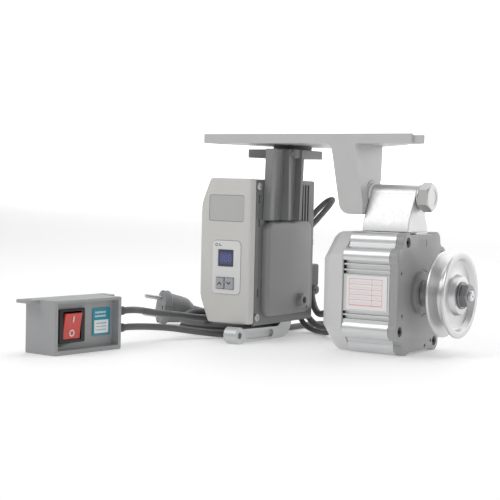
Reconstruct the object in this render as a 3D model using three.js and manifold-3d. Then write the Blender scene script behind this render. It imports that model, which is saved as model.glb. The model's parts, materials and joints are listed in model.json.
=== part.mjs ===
// Sewing machine drive set: a small servo motor with a V-belt pulley hangs from a table bracket, beside
// its control box with a display and a treadle lever. A switch box and a mains plug belong to the set.
// Millimetres. +X runs along the motor shaft towards the pulley, +Y away from the operator, +Z up.
// Every size below is in the motor's layout frame: its origin is on the shaft axis, at the front face of
// the motor's front end cap. The last group moves the set so that it stands on z = 0, centred on x and y.
import * as THREE from "three";
import { mergeVertices } from "three/addons/utils/BufferGeometryUtils.js";
import Module from "manifold-3d";

const wasm = await Module();
wasm.setup();

// ---------------------------------------------------------------- driving dimensions
const GAP = 0.3; // between pieces that touch
const RUN = 0.4; // radial clearance between pieces that turn

const motor = {
  halfWide: 53.4, // over the lobes, along Y
  halfHigh: 56.6, // over the lobes, along Z
  lobe: 9, // radius of the eight lobes
  lobeIn: 20.2, // from one extent to the centre of the other pair of lobes
  capThick: 7.9,
  housingLong: 47.5,
  bore: 45.2,
  coverLong: 22,
  coverTaper: 6,
  coverChamfer: 22,
  wall: 3,
};
const shaft = { radius: 7, seat: 7.5, thread: 4.9, end: 51.5, boss: 19.4, bossOut: 2.8 };
const pulley = { radius: 40, wide: 17.8, front: 40, grooveWide: 13, grooveDeep: 12, hub: 12.2, hubFront: 17.5 };
const nut = { across: 20, thick: 8 };
const hinge = { y: -3.5, up: 32.8, bolt: 6, barrel: 11.4, ear: 15, right: -1.7, left: -48.5, head: 24, headThick: 10 };
hinge.z = motor.halfHigh + hinge.up;
const plate = { over: 58.3, thick: 9.2, front: -29.7, left: -230.8, right: -0.8, back: 112 };
plate.top = hinge.z + plate.over;
const lug = { out: 11.9, in: 4, deep: 20, lower: 1.4 };
const tableSlot = { long: 18, wide: 8.4, fromSide: 16.8, fromRight: 23.2, fromEdge: 15.8 };
const leg = { wide: 25.4, slant: 0.178, deepTop: 58, deepLow: 47, under: 17.4, wall: 6.5 };
leg.low = hinge.z - leg.under;
const box = { x0: -216.8, x1: -158.3, y0: -52, y1: 73, z0: -38.4, z1: 103.6, cover: 9, wall: 3.4, drop: 2.8 };
const lever = { x0: -172.5, x1: -162.5, y: 22, z: -14, hub: 9, shaft: 4, bossY: -61.4, bossZ: -48.3, boss: 8 };
const sw = { x: -232.6, y: -249.2, yaw: 84.6, wide: 84.5, deep: 39.3, high: 48.4, wall: 2.5, recess: 8 };
const lead = { mains: 6.5, box: 6.5, motor: 7, encoder: 5.5, link: 6 };
const coil = { x: -244, y: 38, mid: 39, wide: 3, layers: 2 };
const plug = { x: -324, y: 30, z: -36.8, heading: 52, tilt: 8, disc: 18.5, discThick: 8, long: 36, relief: 22 };
const FLOOR = -motor.halfHigh;

// ---------------------------------------------------------------- finishes
const finish = (color, roughness, metalness) => new THREE.MeshStandardMaterial({ color, roughness, metalness });
const paint = () => finish(0xc9c9c6, 0.5, 0.1);
const castPaint = () => finish(0x8d8f8f, 0.6, 0.2);
const aluminium = () => finish(0xd9dadb, 0.35, 0.9);
const steel = () => finish(0xbfc1c4, 0.3, 1);
const zinc = () => finish(0xcfd0cc, 0.35, 1);
const creamPlastic = () => finish(0xd0cfc8, 0.55, 0);
const greyPlastic = () => finish(0xa4a6a8, 0.6, 0);
const blackPlastic = () => finish(0x1c1c1e, 0.5, 0);
const rubber = () => finish(0x77797b, 0.8, 0);
const copper = () => finish(0xb0703a, 0.45, 0.9);

// ---------------------------------------------------------------- solids
// A closed geometry as a solid; only positions are kept, and triangles of no area are dropped.
function solid(geometry) {
  const g = geometry.clone();
  for (const key of Object.keys(g.attributes)) {
    if (key !== "position") g.deleteAttribute(key);
  }
  const merged = mergeVertices(g, 1e-4);
  const source = merged.index.array;
  const kept = [];
  for (let i = 0; i < source.length; i += 3) {
    const [a, b, c] = [source[i], source[i + 1], source[i + 2]];
    if (a !== b && b !== c && a !== c) kept.push(a, b, c);
  }
  const vertProperties = new Float32Array(merged.attributes.position.array);
  return new wasm.Manifold(new wasm.Mesh({ numProp: 3, vertProperties, triVerts: new Uint32Array(kept) }));
}

function geometryOf(body) {
  const mesh = body.getMesh();
  const g = new THREE.BufferGeometry();
  g.setAttribute("position", new THREE.BufferAttribute(new Float32Array(mesh.vertProperties), 3));
  g.setIndex(new THREE.BufferAttribute(new Uint32Array(mesh.triVerts), 1));
  const flat = g.toNonIndexed();
  flat.computeVertexNormals();
  return flat;
}

const join = (...bodies) => bodies.reduce((a, b) => a.add(b));
const cut = (body, ...tools) => tools.reduce((a, b) => a.subtract(b), body);

// A block between two corners.
function block(x0, x1, y0, y1, z0, z1) {
  const g = new THREE.BoxGeometry(x1 - x0, y1 - y0, z1 - z0);
  g.translate((x0 + x1) / 2, (y0 + y1) / 2, (z0 + z1) / 2);
  return solid(g);
}

const axes = {
  x: new THREE.Matrix4().makeBasis(
    new THREE.Vector3(0, 1, 0),
    new THREE.Vector3(0, 0, 1),
    new THREE.Vector3(1, 0, 0),
  ),
  y: new THREE.Matrix4().makeBasis(
    new THREE.Vector3(1, 0, 0),
    new THREE.Vector3(0, 0, 1),
    new THREE.Vector3(0, -1, 0),
  ),
  z: new THREE.Matrix4(),
};

// An outline drawn on the two other axes, extruded along the axis from one value to the other.
function prism(axis, outline, from, to) {
  const g = new THREE.ExtrudeGeometry(outline, { depth: to - from, bevelEnabled: false, curveSegments: 4 });
  g.applyMatrix4(axes[axis]);
  const shift = axis === "y" ? to : from;
  g.translate(axis === "x" ? shift : 0, axis === "y" ? shift : 0, axis === "z" ? shift : 0);
  return solid(g);
}

// The same with a rounded edge of radius edge at the far end, for covers and pads.
function crowned(axis, outline, from, to, edge, atEnd) {
  const steps = 2;
  let body = prism(axis, outline(0), atEnd ? from : from + edge, atEnd ? to - edge : to);
  for (let i = 0; i < steps; i += 1) {
    const low = edge * Math.sin(((i / steps) * Math.PI) / 2);
    const high = edge * Math.sin((((i + 1) / steps) * Math.PI) / 2);
    const inset = edge * (1 - Math.cos((((i + 0.6) / steps) * Math.PI) / 2));
    const a = atEnd ? to - edge + low : from + edge - high;
    const b = atEnd ? to - edge + high : from + edge - low;
    body = body.add(prism(axis, outline(inset), a - 0.01, b + 0.01));
  }
  return body;
}

const circle = (u, v, r) => new THREE.Shape().absarc(u, v, r, 0, Math.PI * 2);

// A round bar on an axis, with its own number of sides.
function bar(axis, u, v, r, from, to, sides = 20) {
  const points = [];
  for (let i = 0; i < sides; i += 1) {
    const a = ((i + 0.5) / sides) * Math.PI * 2;
    points.push(new THREE.Vector2(u + r * Math.cos(a), v + r * Math.sin(a)));
  }
  return prism(axis, new THREE.Shape(points), from, to);
}

// A rectangle with round corners, each corner being a short arc.
function rounded(u0, u1, v0, v1, r) {
  const s = new THREE.Shape();
  s.moveTo(u0 + r, v0);
  s.lineTo(u1 - r, v0);
  s.absarc(u1 - r, v0 + r, r, -Math.PI / 2, 0);
  s.lineTo(u1, v1 - r);
  s.absarc(u1 - r, v1 - r, r, 0, Math.PI / 2);
  s.lineTo(u0 + r, v1);
  s.absarc(u0 + r, v1 - r, r, Math.PI / 2, Math.PI);
  s.lineTo(u0, v0 + r);
  s.absarc(u0 + r, v0 + r, r, Math.PI, Math.PI * 1.5);
  return s;
}

const polygon = (points) => new THREE.Shape(points.map(([u, v]) => new THREE.Vector2(u, v)));

// A profile of [along, radius] points turned about the X axis through (y, z); its order doesn't matter.
function turned(profile, sides, y = 0, z = 0) {
  const area = profile.reduce((sum, [h, r], i) => {
    const [h2, r2] = profile[(i + 1) % profile.length];
    return sum + h * r2 - h2 * r;
  }, 0);
  const closes = profile.every(([, r]) => r > 0);
  const ordered = area > 0 ? [...profile].reverse() : profile;
  const points = ordered.map(([h, r]) => new THREE.Vector2(r, h));
  if (closes) points.push(points[0].clone());
  const g = new THREE.LatheGeometry(points, sides);
  g.rotateZ(-Math.PI / 2);
  g.translate(0, y, z);
  return solid(g);
}

// A flat ring or washer about the X axis.
const ring = (from, to, inner, outer, sides, y = 0, z = 0) =>
  turned([[from, inner], [to, inner], [to, outer], [from, outer]], sides, y, z);

function hexagon(axis, u, v, across, from, to) {
  const points = [];
  for (let i = 0; i < 6; i += 1) {
    const a = (i / 6) * Math.PI * 2;
    points.push([u + (across / Math.sqrt(3)) * Math.cos(a), v + (across / Math.sqrt(3)) * Math.sin(a)]);
  }
  return prism(axis, polygon(points), from, to);
}

// Stations joined one to the next: equal numbers of points, a flat cap at both ends.
function lofted(stations) {
  const n = stations[0].length;
  const position = stations.flat(2);
  const index = [];
  for (let s = 0; s + 1 < stations.length; s += 1) {
    for (let i = 0; i < n; i += 1) {
      const a = s * n + i;
      const b = s * n + ((i + 1) % n);
      index.push(a, b, a + n, b, b + n, a + n);
    }
  }
  const last = (stations.length - 1) * n;
  for (let i = 1; i + 1 < n; i += 1) {
    index.push(0, i + 1, i);
    index.push(last, last + i, last + i + 1);
  }
  const g = new THREE.BufferGeometry();
  g.setAttribute("position", new THREE.Float32BufferAttribute(position, 3));
  g.setIndex(index);
  const body = solid(g);
  if (body.volume() > 0) return body;
  g.setIndex(index.map((_, k) => index[k - (k % 3) + [0, 2, 1][k % 3]]));
  return solid(g);
}

// A lead of round section along a smooth curve through its route.
function tube(route, diameter, sides = 8) {
  const curve = new THREE.CatmullRomCurve3(route.map((p) => new THREE.Vector3(...p)), false, "centripetal");
  const steps = Math.min(80, Math.max(6, Math.round(curve.getLength() / (diameter * 2.2))));
  const section = [];
  for (let i = 0; i < sides; i += 1) {
    const a = (i / sides) * Math.PI * 2;
    section.push(new THREE.Vector2((diameter / 2) * Math.cos(a), (diameter / 2) * Math.sin(a)));
  }
  return new THREE.ExtrudeGeometry(new THREE.Shape(section), { steps, extrudePath: curve, bevelEnabled: false });
}

const set = new THREE.Group();
let home = set;
function piece(name, shape, material) {
  const mesh = new THREE.Mesh(shape.isBufferGeometry ? shape : geometryOf(shape), material);
  mesh.name = name;
  home.add(mesh);
  return mesh;
}

// ---------------------------------------------------------------- table bracket and hinge bolt
const plateLow = plate.top - plate.thick;
const ear = { right: hinge.left - 2.9, long: 24 };
ear.left = ear.right - ear.long;
// the leg is centred on its ear at the hinge, and leans away from the pulley as it rises
leg.top = (ear.left + ear.right) / 2 + 0.4 - leg.slant * (plateLow - hinge.z);

function bracketCasting() {
  const outline = polygon([
    [plate.left, plate.front],
    [plate.right, plate.front],
    [plate.right, plate.front + lug.in],
    [plate.right - 26, plate.front + lug.in + 40],
    [plate.right - 79, plate.front + 96],
    [plate.right - 104, plate.back],
    [plate.left + 35, plate.back],
    [plate.left + 17, plate.front + 98],
    [plate.left + 6, plate.front + 42],
    [plate.left, plate.front + 35],
  ]);
  let casting = prism("z", outline, plateLow, plate.top);
  const ledge = polygon([
    [plate.right - 8, plate.front + lug.in],
    [plate.right + lug.out, plate.front + lug.in],
    [plate.right + lug.out - lug.deep * 0.7, plate.front + lug.in + lug.deep],
    [plate.right - 24, plate.front + lug.in + 32],
  ]);
  casting = casting.add(prism("z", ledge, plateLow, plate.top - lug.lower));
  // the leg: a front wall and a side wall, both leaning towards the pulley as they go down
  const half = leg.wide / 2;
  const side = polygon([
    [plate.front, plateLow + 1],
    [plate.front + leg.deepTop, plateLow + 1],
    [plate.front + leg.deepLow, hinge.z + 17],
    [hinge.y + hinge.ear, hinge.z + 4],
    [hinge.y + 8, hinge.z - 12],
    [hinge.y, leg.low + 3],
    [plate.front, leg.low],
  ]);
  const sideShort = polygon([
    [plate.front, plateLow + 1],
    [plate.front + leg.deepTop, plateLow + 1],
    [plate.front + leg.deepLow, hinge.z + 17],
    [hinge.y + hinge.ear, hinge.z + 4],
    [hinge.y, leg.low + 10],
    [plate.front, leg.low + 8],
  ]);
  const front = polygon([
    [leg.top - half - 6, plateLow + 1],
    [leg.top + half, plateLow + 1],
    [leg.top + half, leg.low],
    [leg.top - half + 8, leg.low],
    [leg.top - half, leg.low + 8],
    [leg.top - half, plateLow - 6],
  ]);
  const lean = new THREE.Matrix4().set(1, 0, -leg.slant, leg.slant * plateLow, 0, 1, 0, 0, 0, 0, 1, 0, 0, 0, 0, 1);
  for (const body of [
    prism("y", front, plate.front, plate.front + leg.wall),
    prism("x", side, leg.top + half - leg.wall, leg.top + half),
    prism("x", sideShort, leg.top - half, leg.top - half + leg.wall - 2),
  ]) {
    const g = geometryOf(body);
    g.applyMatrix4(lean);
    casting = casting.add(solid(g));
  }
  casting = casting.add(bar("x", hinge.y, hinge.z, hinge.ear, ear.left, ear.right, 24));
  casting = cut(casting, bar("x", hinge.y, hinge.z, hinge.bolt + RUN, ear.left - 30, ear.right + 30, 16));
  // room for the nut, the spacer and the swinging hanger beside the leaning walls
  casting = cut(casting, bar("x", hinge.y, hinge.z, hinge.head / 2 + 2.4, ear.left - 30, ear.left, 20));
  casting = cut(casting, bar("x", hinge.y, hinge.z, hinge.barrel + 2.2, ear.right, hinge.left + 8, 20));
  const hangerRoom = [hinge.left - 2 * GAP, hinge.left + 30, plate.front - 1, hinge.y + 60];
  casting = cut(casting, block(...hangerRoom, leg.low - 1, hinge.z + hinge.ear + 2));
  // slots for the table screws
  for (const [x, y] of [
    [plate.left + tableSlot.fromSide, plate.front + tableSlot.fromEdge],
    [plate.right - tableSlot.fromRight, plate.front + tableSlot.fromEdge],
    [(plate.left + 35 + plate.right - 104) / 2, plate.back - tableSlot.fromEdge],
  ]) {
    const [halfLong, halfWide] = [tableSlot.long / 2, tableSlot.wide / 2];
    const slotted = rounded(x - halfLong, x + halfLong, y - halfWide, y + halfWide, halfWide - 0.1);
    casting = cut(casting, prism("z", slotted, plateLow - 1, plate.top + 1));
  }
  return casting;
}
piece("bracket", bracketCasting(), paint());

const lockNut = { thick: 6 };
const boltLeft = ear.left - GAP - lockNut.thick;
piece(
  "hinge_bolt",
  join(
    bar("x", hinge.y, hinge.z, hinge.bolt, boltLeft - 0.8, hinge.right + 2.6, 16),
    hexagon("x", hinge.y, hinge.z, hinge.head, hinge.right + 2.5, hinge.right + 2.5 + hinge.headThick),
  ),
  zinc(),
);
const washerOuter = hinge.barrel + 0.8;
piece(
  "hinge_washer",
  ring(hinge.right + GAP, hinge.right + 2.5 - GAP, hinge.bolt + RUN, washerOuter, 24, hinge.y, hinge.z),
  zinc(),
);
piece(
  "hinge_spacer",
  ring(ear.right + GAP, hinge.left - GAP, hinge.bolt + RUN, hinge.barrel + 1.2, 20, hinge.y, hinge.z),
  steel(),
);
piece(
  "hinge_nut",
  cut(
    hexagon("x", hinge.y, hinge.z, hinge.head - 2, boltLeft, ear.left - GAP),
    bar("x", hinge.y, hinge.z, hinge.bolt + GAP, boltLeft - 1, ear.left + 1, 16),
  ),
  zinc(),
);

// ---------------------------------------------------------------- motor
// Eight lobes: two at each corner, a notch between them, and flats recessed between the corners.
function lobedOutline() {
  const { halfWide, halfHigh, lobe, lobeIn } = motor;
  const s = new THREE.Shape();
  const sideLobe = [halfWide - lobe, halfHigh - lobeIn - 3];
  const topLobe = [halfWide - lobeIn - 2, halfHigh - lobe];
  const deg = Math.PI / 180;
  const arc = ([u, v], a, b) => s.absarc(u, v, lobe, a * deg, b * deg, false);
  arc(sideLobe, -40, 100);
  arc(topLobe, -10, 130);
  arc([-topLobe[0], topLobe[1]], 50, 190);
  arc([-sideLobe[0], sideLobe[1]], 80, 220);
  arc([-sideLobe[0], -sideLobe[1]], 140, 280);
  arc([-topLobe[0], -topLobe[1]], 170, 310);
  arc([topLobe[0], -topLobe[1]], 230, 370);
  arc([sideLobe[0], -sideLobe[1]], 260, 400);
  s.closePath();
  return { outline: s, sideLobe, topLobe };
}
const { outline: lobed, sideLobe, topLobe } = lobedOutline();
const tieBolts = [
  [-topLobe[0], topLobe[1]],
  [-sideLobe[0], -sideLobe[1]],
  [topLobe[0], -topLobe[1]],
  [sideLobe[0], sideLobe[1]],
];
const housing = { front: -motor.capThick - GAP, back: -motor.capThick - GAP - motor.housingLong };
const flatY = sideLobe[0] + motor.lobe * Math.cos((40 * Math.PI) / 180);
const flatZ = topLobe[1] + motor.lobe * Math.sin((50 * Math.PI) / 180);

// cooling channels: each one's lower edge and height
const channels = [[17.4, 3], [22, 3.6], [27.3, 2.9], [-19.6, 2.8], [-24.2, 3.1]];
function motorHousing() {
  let body = prism("x", lobed, housing.back, housing.front);
  body = cut(body, bar("x", 0, 0, motor.bore, housing.back - 1, housing.front + 1, 30));
  for (const [y, z] of tieBolts) {
    body = cut(body, bar("x", y, z, 2.7, housing.back - 1, housing.front + 1, 8));
  }
  // cooling channels along both sides, above and below the label
  for (const sy of [-1, 1]) {
    for (const [z, high] of channels) {
      const y0 = sy * (flatY - 4);
      const y1 = sy * (flatY + 4);
      body = cut(body, block(housing.back - 1, housing.front + 1, Math.min(y0, y1), Math.max(y0, y1), z, z + high));
    }
  }
  return body;
}
piece("motor_housing", motorHousing(), aluminium());

const screwHead = { radius: 4.4, deep: 4.6 };
function frontEndCap() {
  let body = prism("x", lobed, -motor.capThick, 0);
  body = body.add(bar("x", 0, 0, shaft.boss, -1, shaft.bossOut, 32));
  body = cut(body, bar("x", 0, 0, shaft.seat + 2, -motor.capThick - 1, shaft.bossOut + 1, 20));
  body = cut(body, bar("x", 0, 0, 16.2, -motor.capThick - 1, 0.4, 28));
  for (const [y, z] of tieBolts) {
    body = cut(body, bar("x", y, z, 2.7, -motor.capThick - 1, 1, 8));
    body = cut(body, bar("x", y, z, screwHead.radius + GAP, -screwHead.deep - GAP, 1, 14));
  }
  for (const [y, z] of [[-46, 19.5], [-46, -20.5], [18, -49], [8, -51.5]]) {
    body = cut(body, bar("x", y, z, 1.7, -5, 1, 8));
  }
  return body;
}
piece("front_end_cap", frontEndCap(), castPaint());

const coverFront = housing.back - GAP;
const coverBack = coverFront - motor.coverLong;
function octagon(x, inset) {
  const w = motor.halfWide - inset;
  const h = motor.halfHigh - inset - 0.3;
  const c = motor.coverChamfer - inset * 0.4;
  return [[w, h - c], [w - c, h], [c - w, h], [-w, h - c], [-w, c - h], [c - w, -h], [w - c, -h], [w, c - h]].map(
    ([y, z]) => [x, y, z],
  );
}
const exits = { y: 38, motorZ: -20, encoderZ: -36, long: 5 };
function rearCover() {
  const bevel = coverFront - 13;
  const outer = lofted([octagon(coverFront, 0), octagon(bevel, 0.6), octagon(coverBack, motor.coverTaper)]);
  const inner = lofted([
    octagon(coverFront + 1, motor.wall),
    octagon(bevel, motor.wall + 0.6),
    octagon(coverBack + motor.wall, motor.coverTaper + motor.wall - 1),
  ]);
  let body = cut(outer, inner);
  // seat of the rear bearing, and lobes that take the tie bolts
  body = body.add(cut(
    bar("x", 0, 0, 17, coverBack + 1, coverFront - 8, 24),
    bar("x", 0, 0, 12.2, coverFront - 15, coverFront - 7, 24),
  ));
  body = cut(body, bar("x", 0, 0, 9.2, coverBack + motor.wall, coverFront - 7, 20));
  for (const [y, z] of tieBolts) {
    body = body.add(bar("x", y * 0.985, z * 0.985, 5, coverFront - 8, coverFront, 12).intersect(outer));
  }
  for (const [y, z] of tieBolts) {
    body = cut(body, bar("x", y, z, 2.6, coverFront - 9, coverFront + 1, 8));
  }
  for (const z of [exits.motorZ, exits.encoderZ]) {
    body = body.add(bar("x", exits.y, z, 6, coverBack - exits.long, coverBack + 5, 14).subtract(inner));
  }
  return body;
}
piece("rear_cover", rearCover(), paint());

tieBolts.forEach(([y, z], i) => {
  const head = bar("x", y, z, screwHead.radius, -screwHead.deep, -GAP - 0.4, 12);
  const shank = bar("x", y, z, 2.2, coverFront - 7, -screwHead.deep + 0.1, 8);
  const socket = hexagon("x", y, z, 3.6, -2.6, 1);
  piece(`tie_bolt_${i + 1}`, cut(join(head, shank), socket), steel());
});

function motorHanger() {
  const deg = Math.PI / 180;
  const lobeTop = motor.halfHigh + GAP;
  const s = new THREE.Shape();
  s.moveTo(hinge.y - 26, lobeTop);
  s.lineTo(hinge.y + 17.7, lobeTop);
  s.lineTo(hinge.y + 10.8, hinge.z - 17);
  s.absarc(hinge.y, hinge.z, hinge.barrel, 0, 168 * deg, false);
  s.lineTo(hinge.y - 24, hinge.z - 22);
  s.closePath();
  let body = prism("x", s, hinge.left, hinge.right);
  body = body.add(block(hinge.left + 2, hinge.right - 8, hinge.y - 17, hinge.y + 11, flatZ + GAP, lobeTop + 0.5));
  return cut(body, bar("x", hinge.y, hinge.z, hinge.bolt + RUN, hinge.left - 20, hinge.right + 1, 16));
}
piece("motor_hanger", motorHanger(), aluminium());

piece(
  "rating_label",
  block(housing.back + 4, housing.front - 3, -flatY - 0.8, -flatY - GAP, -21, 17.5),
  finish(0xf1f0ee, 0.6, 0),
);

function statorCore() {
  const slots = 12;
  let body = ring(housing.back + 9, housing.front - 9, 30.5, motor.bore - GAP - 0.4, 30);
  for (let i = 0; i < slots; i += 1) {
    const a = ((i + 0.5) / slots) * Math.PI * 2;
    const hole = bar("x", 37 * Math.cos(a), 37 * Math.sin(a), 4, housing.back, housing.front, 4);
    body = cut(body, hole);
  }
  return body;
}
piece("stator_core", statorCore(), finish(0x55585c, 0.5, 0.8));
const windingAt = { rear: [housing.back + 1.5, housing.back + 8.6], front: [housing.front - 8.6, housing.front - 1.5] };
for (const [end, [from, to]] of Object.entries(windingAt)) {
  const profile = [[from, 33], [from, 41], [from + 2, 43], [to - 2, 43], [to, 41], [to, 33]];
  piece(`winding_${end}`, turned(profile, 24), copper());
}

const rotor = { from: housing.back + 10, to: housing.front - 10, core: 23.5, magnets: 29.5 };
piece("rotor_core", ring(rotor.from, rotor.to, shaft.radius + GAP, rotor.core, 20), finish(0x6a6d70, 0.5, 0.8));
piece("magnet_ring", ring(rotor.from, rotor.to, rotor.core + GAP, rotor.magnets, 24), finish(0x3c3e40, 0.4, 0.6));

const bearing = { front: [-6.6, 0.1], rear: [coverFront - 14.7, coverFront - 8], outer: 15.9, rearOuter: 11.9 };
const rearStub = 6;
piece(
  "motor_shaft",
  turned(
    [
      [coverBack + motor.wall + 1.2, 0],
      [coverBack + motor.wall + 1.2, 3.4],
      [bearing.rear[0] - 0.4, 3.4],
      [bearing.rear[0] - 0.4, rearStub - GAP],
      [bearing.rear[1] + 0.4, rearStub - GAP],
      [bearing.rear[1] + 0.4, shaft.radius],
      [pulley.front + 1, shaft.radius],
      [pulley.front + 1, shaft.thread],
      [shaft.end - 0.8, shaft.thread],
      [shaft.end, shaft.thread - 0.8],
      [shaft.end, 1.8],
      [shaft.end - 3, 0],
    ],
    20,
  ),
  steel(),
);
piece("front_bearing", ring(...bearing.front, shaft.radius + GAP, bearing.outer, 24), steel());
piece("rear_bearing", ring(...bearing.rear, rearStub, bearing.rearOuter, 24), steel());
const discX = coverBack + motor.wall + 2;
piece("encoder_disc", ring(discX, discX + 1.2, 3.4 + GAP, 8.6, 20), finish(0x2c3a4a, 0.3, 0.3));

// ---------------------------------------------------------------- pulley and nut
function beltPulley() {
  const { radius: r, front: f, wide, grooveWide, grooveDeep, hub, hubFront } = pulley;
  const back = f - wide;
  const mid = f - wide / 2;
  const bottom = grooveWide / 2 - grooveDeep * Math.tan((18 * Math.PI) / 180);
  const bore = shaft.radius + GAP;
  return turned(
    [
      [shaft.bossOut + 0.6, bore],
      [shaft.bossOut + 0.6, hub],
      [back + 3, hub],
      [back + 3, r - 11],
      [back, r - 9],
      [back, r - 0.8],
      [back + 0.8, r],
      [mid - grooveWide / 2, r],
      [mid - bottom, r - grooveDeep],
      [mid + bottom, r - grooveDeep],
      [mid + grooveWide / 2, r],
      [f - 0.8, r],
      [f, r - 0.8],
      [f, r - 6],
      [f - 4.5, r - 8],
      [f - 4.5, hubFront + 1.5],
      [f + 1, hubFront],
      [f + 1, bore],
    ],
    40,
  );
}
piece("pulley", beltPulley(), aluminium());
piece(
  "pulley_nut",
  cut(
    join(
      hexagon("x", 0, 0, nut.across, pulley.front + 2.4, pulley.front + 1 + GAP + nut.thick),
      bar("x", 0, 0, nut.across / 2 + 2.6, pulley.front + 1 + GAP, pulley.front + 2.8, 24),
    ),
    bar("x", 0, 0, shaft.thread + GAP, pulley.front, pulley.front + nut.thick + 4, 16),
  ),
  finish(0x2b2c2e, 0.45, 0.8),
);

// ---------------------------------------------------------------- control box
const body0 = box.y0 + box.cover + 1.6;
const chamfer = { wide: 10, high: 24 };
// Front outline of the box: square on the pulley side, long chamfers on the other.
function boxOutline(inset, drop = 0) {
  const x0 = box.x0 + inset;
  const x1 = box.x1 - inset;
  const z0 = box.z0 + inset - drop;
  const z1 = box.z1 - inset;
  const r = 3.5;
  const s = new THREE.Shape();
  s.moveTo(x0 + chamfer.wide, z0);
  s.lineTo(x1 - r, z0);
  s.absarc(x1 - r, z0 + r, r, -Math.PI / 2, 0);
  s.lineTo(x1, z1 - r);
  s.absarc(x1 - r, z1 - r, r, 0, Math.PI / 2);
  s.lineTo(x0 + chamfer.wide, z1);
  s.lineTo(x0 + 2, z1 - chamfer.high + 4);
  s.lineTo(x0, z1 - chamfer.high - 2);
  s.lineTo(x0, z0 + chamfer.high + 2);
  s.lineTo(x0 + 2, z0 + chamfer.high - 4);
  s.closePath();
  return s;
}
const windowPane = { x0: -206.7, x1: -166, z0: 61.4, z1: 87.2, deep: 1.4 };
const panel = { x0: -201.5, x1: -168.4, z0: -10, z1: 42.8, thick: 1.1 };
const screen = { x0: -194.8, x1: -176.7, z0: 17, z1: 34 };
const keys = { up: [-196, -186.6], down: [-185.4, -176], z0: -4.6, z1: 6.2, travel: 0.8, proud: 1.5 };
const FRONT = box.y0;

function boxCover() {
  let body = crowned("y", boxOutline, FRONT, FRONT + box.cover, 3, false);
  body = cut(body, prism("y", boxOutline(box.wall), FRONT + box.wall, FRONT + box.cover + 1));
  const { x0, x1, z0, z1, deep } = windowPane;
  body = cut(body, prism("y", rounded(x0, x1, z0, z1, 3), FRONT - 1, FRONT + deep));
  body = cut(body, prism("y", rounded(panel.x0, panel.x1, panel.z0, panel.z1, 5), FRONT - 1, FRONT + 1));
  for (const [kx0, kx1] of [keys.up, keys.down]) {
    body = cut(body, block(kx0 - RUN, kx1 + RUN, FRONT - 1, FRONT + 6, keys.z0 - RUN, keys.z1 + RUN));
  }
  return body;
}
piece("box_cover", boxCover(), creamPlastic());
piece(
  "info_window",
  prism(
    "y",
    rounded(windowPane.x0 + GAP, windowPane.x1 - GAP, windowPane.z0 + GAP, windowPane.z1 - GAP, 2.7),
    FRONT + windowPane.deep - 1,
    FRONT + windowPane.deep - GAP,
  ),
  finish(0xc2c3c0, 0.4, 0),
);
function controlPanel() {
  const face = rounded(panel.x0 + GAP, panel.x1 - GAP, panel.z0 + GAP, panel.z1 - GAP, 4.7);
  let body = prism("y", face, FRONT - panel.thick + GAP, FRONT + 1 - GAP);
  body = cut(body, block(screen.x0, screen.x1, FRONT - 3, FRONT - 0.2, screen.z0, screen.z1));
  for (const [kx0, kx1] of [keys.up, keys.down]) {
    body = cut(body, block(kx0 - RUN, kx1 + RUN, FRONT - 3, FRONT + 3, keys.z0 - RUN, keys.z1 + RUN));
  }
  return body;
}
piece("control_panel", controlPanel(), finish(0xdedfdc, 0.5, 0));
piece(
  "display",
  block(screen.x0 + GAP, screen.x1 - GAP, FRONT - 1, FRONT - 0.5, screen.z0 + GAP, screen.z1 - GAP),
  finish(0x16132e, 0.15, 0),
);
for (const side of ["up", "down"]) {
  const [kx0, kx1] = keys[side];
  piece(
    `key_${side}`,
    prism("y", rounded(kx0, kx1, keys.z0, keys.z1, 1.6), FRONT - panel.thick - keys.proud, FRONT + 4),
    finish(0x9fa2a4, 0.6, 0),
  );
}
function boxGasket() {
  const outer = prism("y", boxOutline(1), body0 - 1.6 + GAP, body0 - GAP);
  return cut(outer, prism("y", boxOutline(box.wall), body0 - 3, body0 + 1));
}
piece("box_gasket", boxGasket(), rubber());

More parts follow.
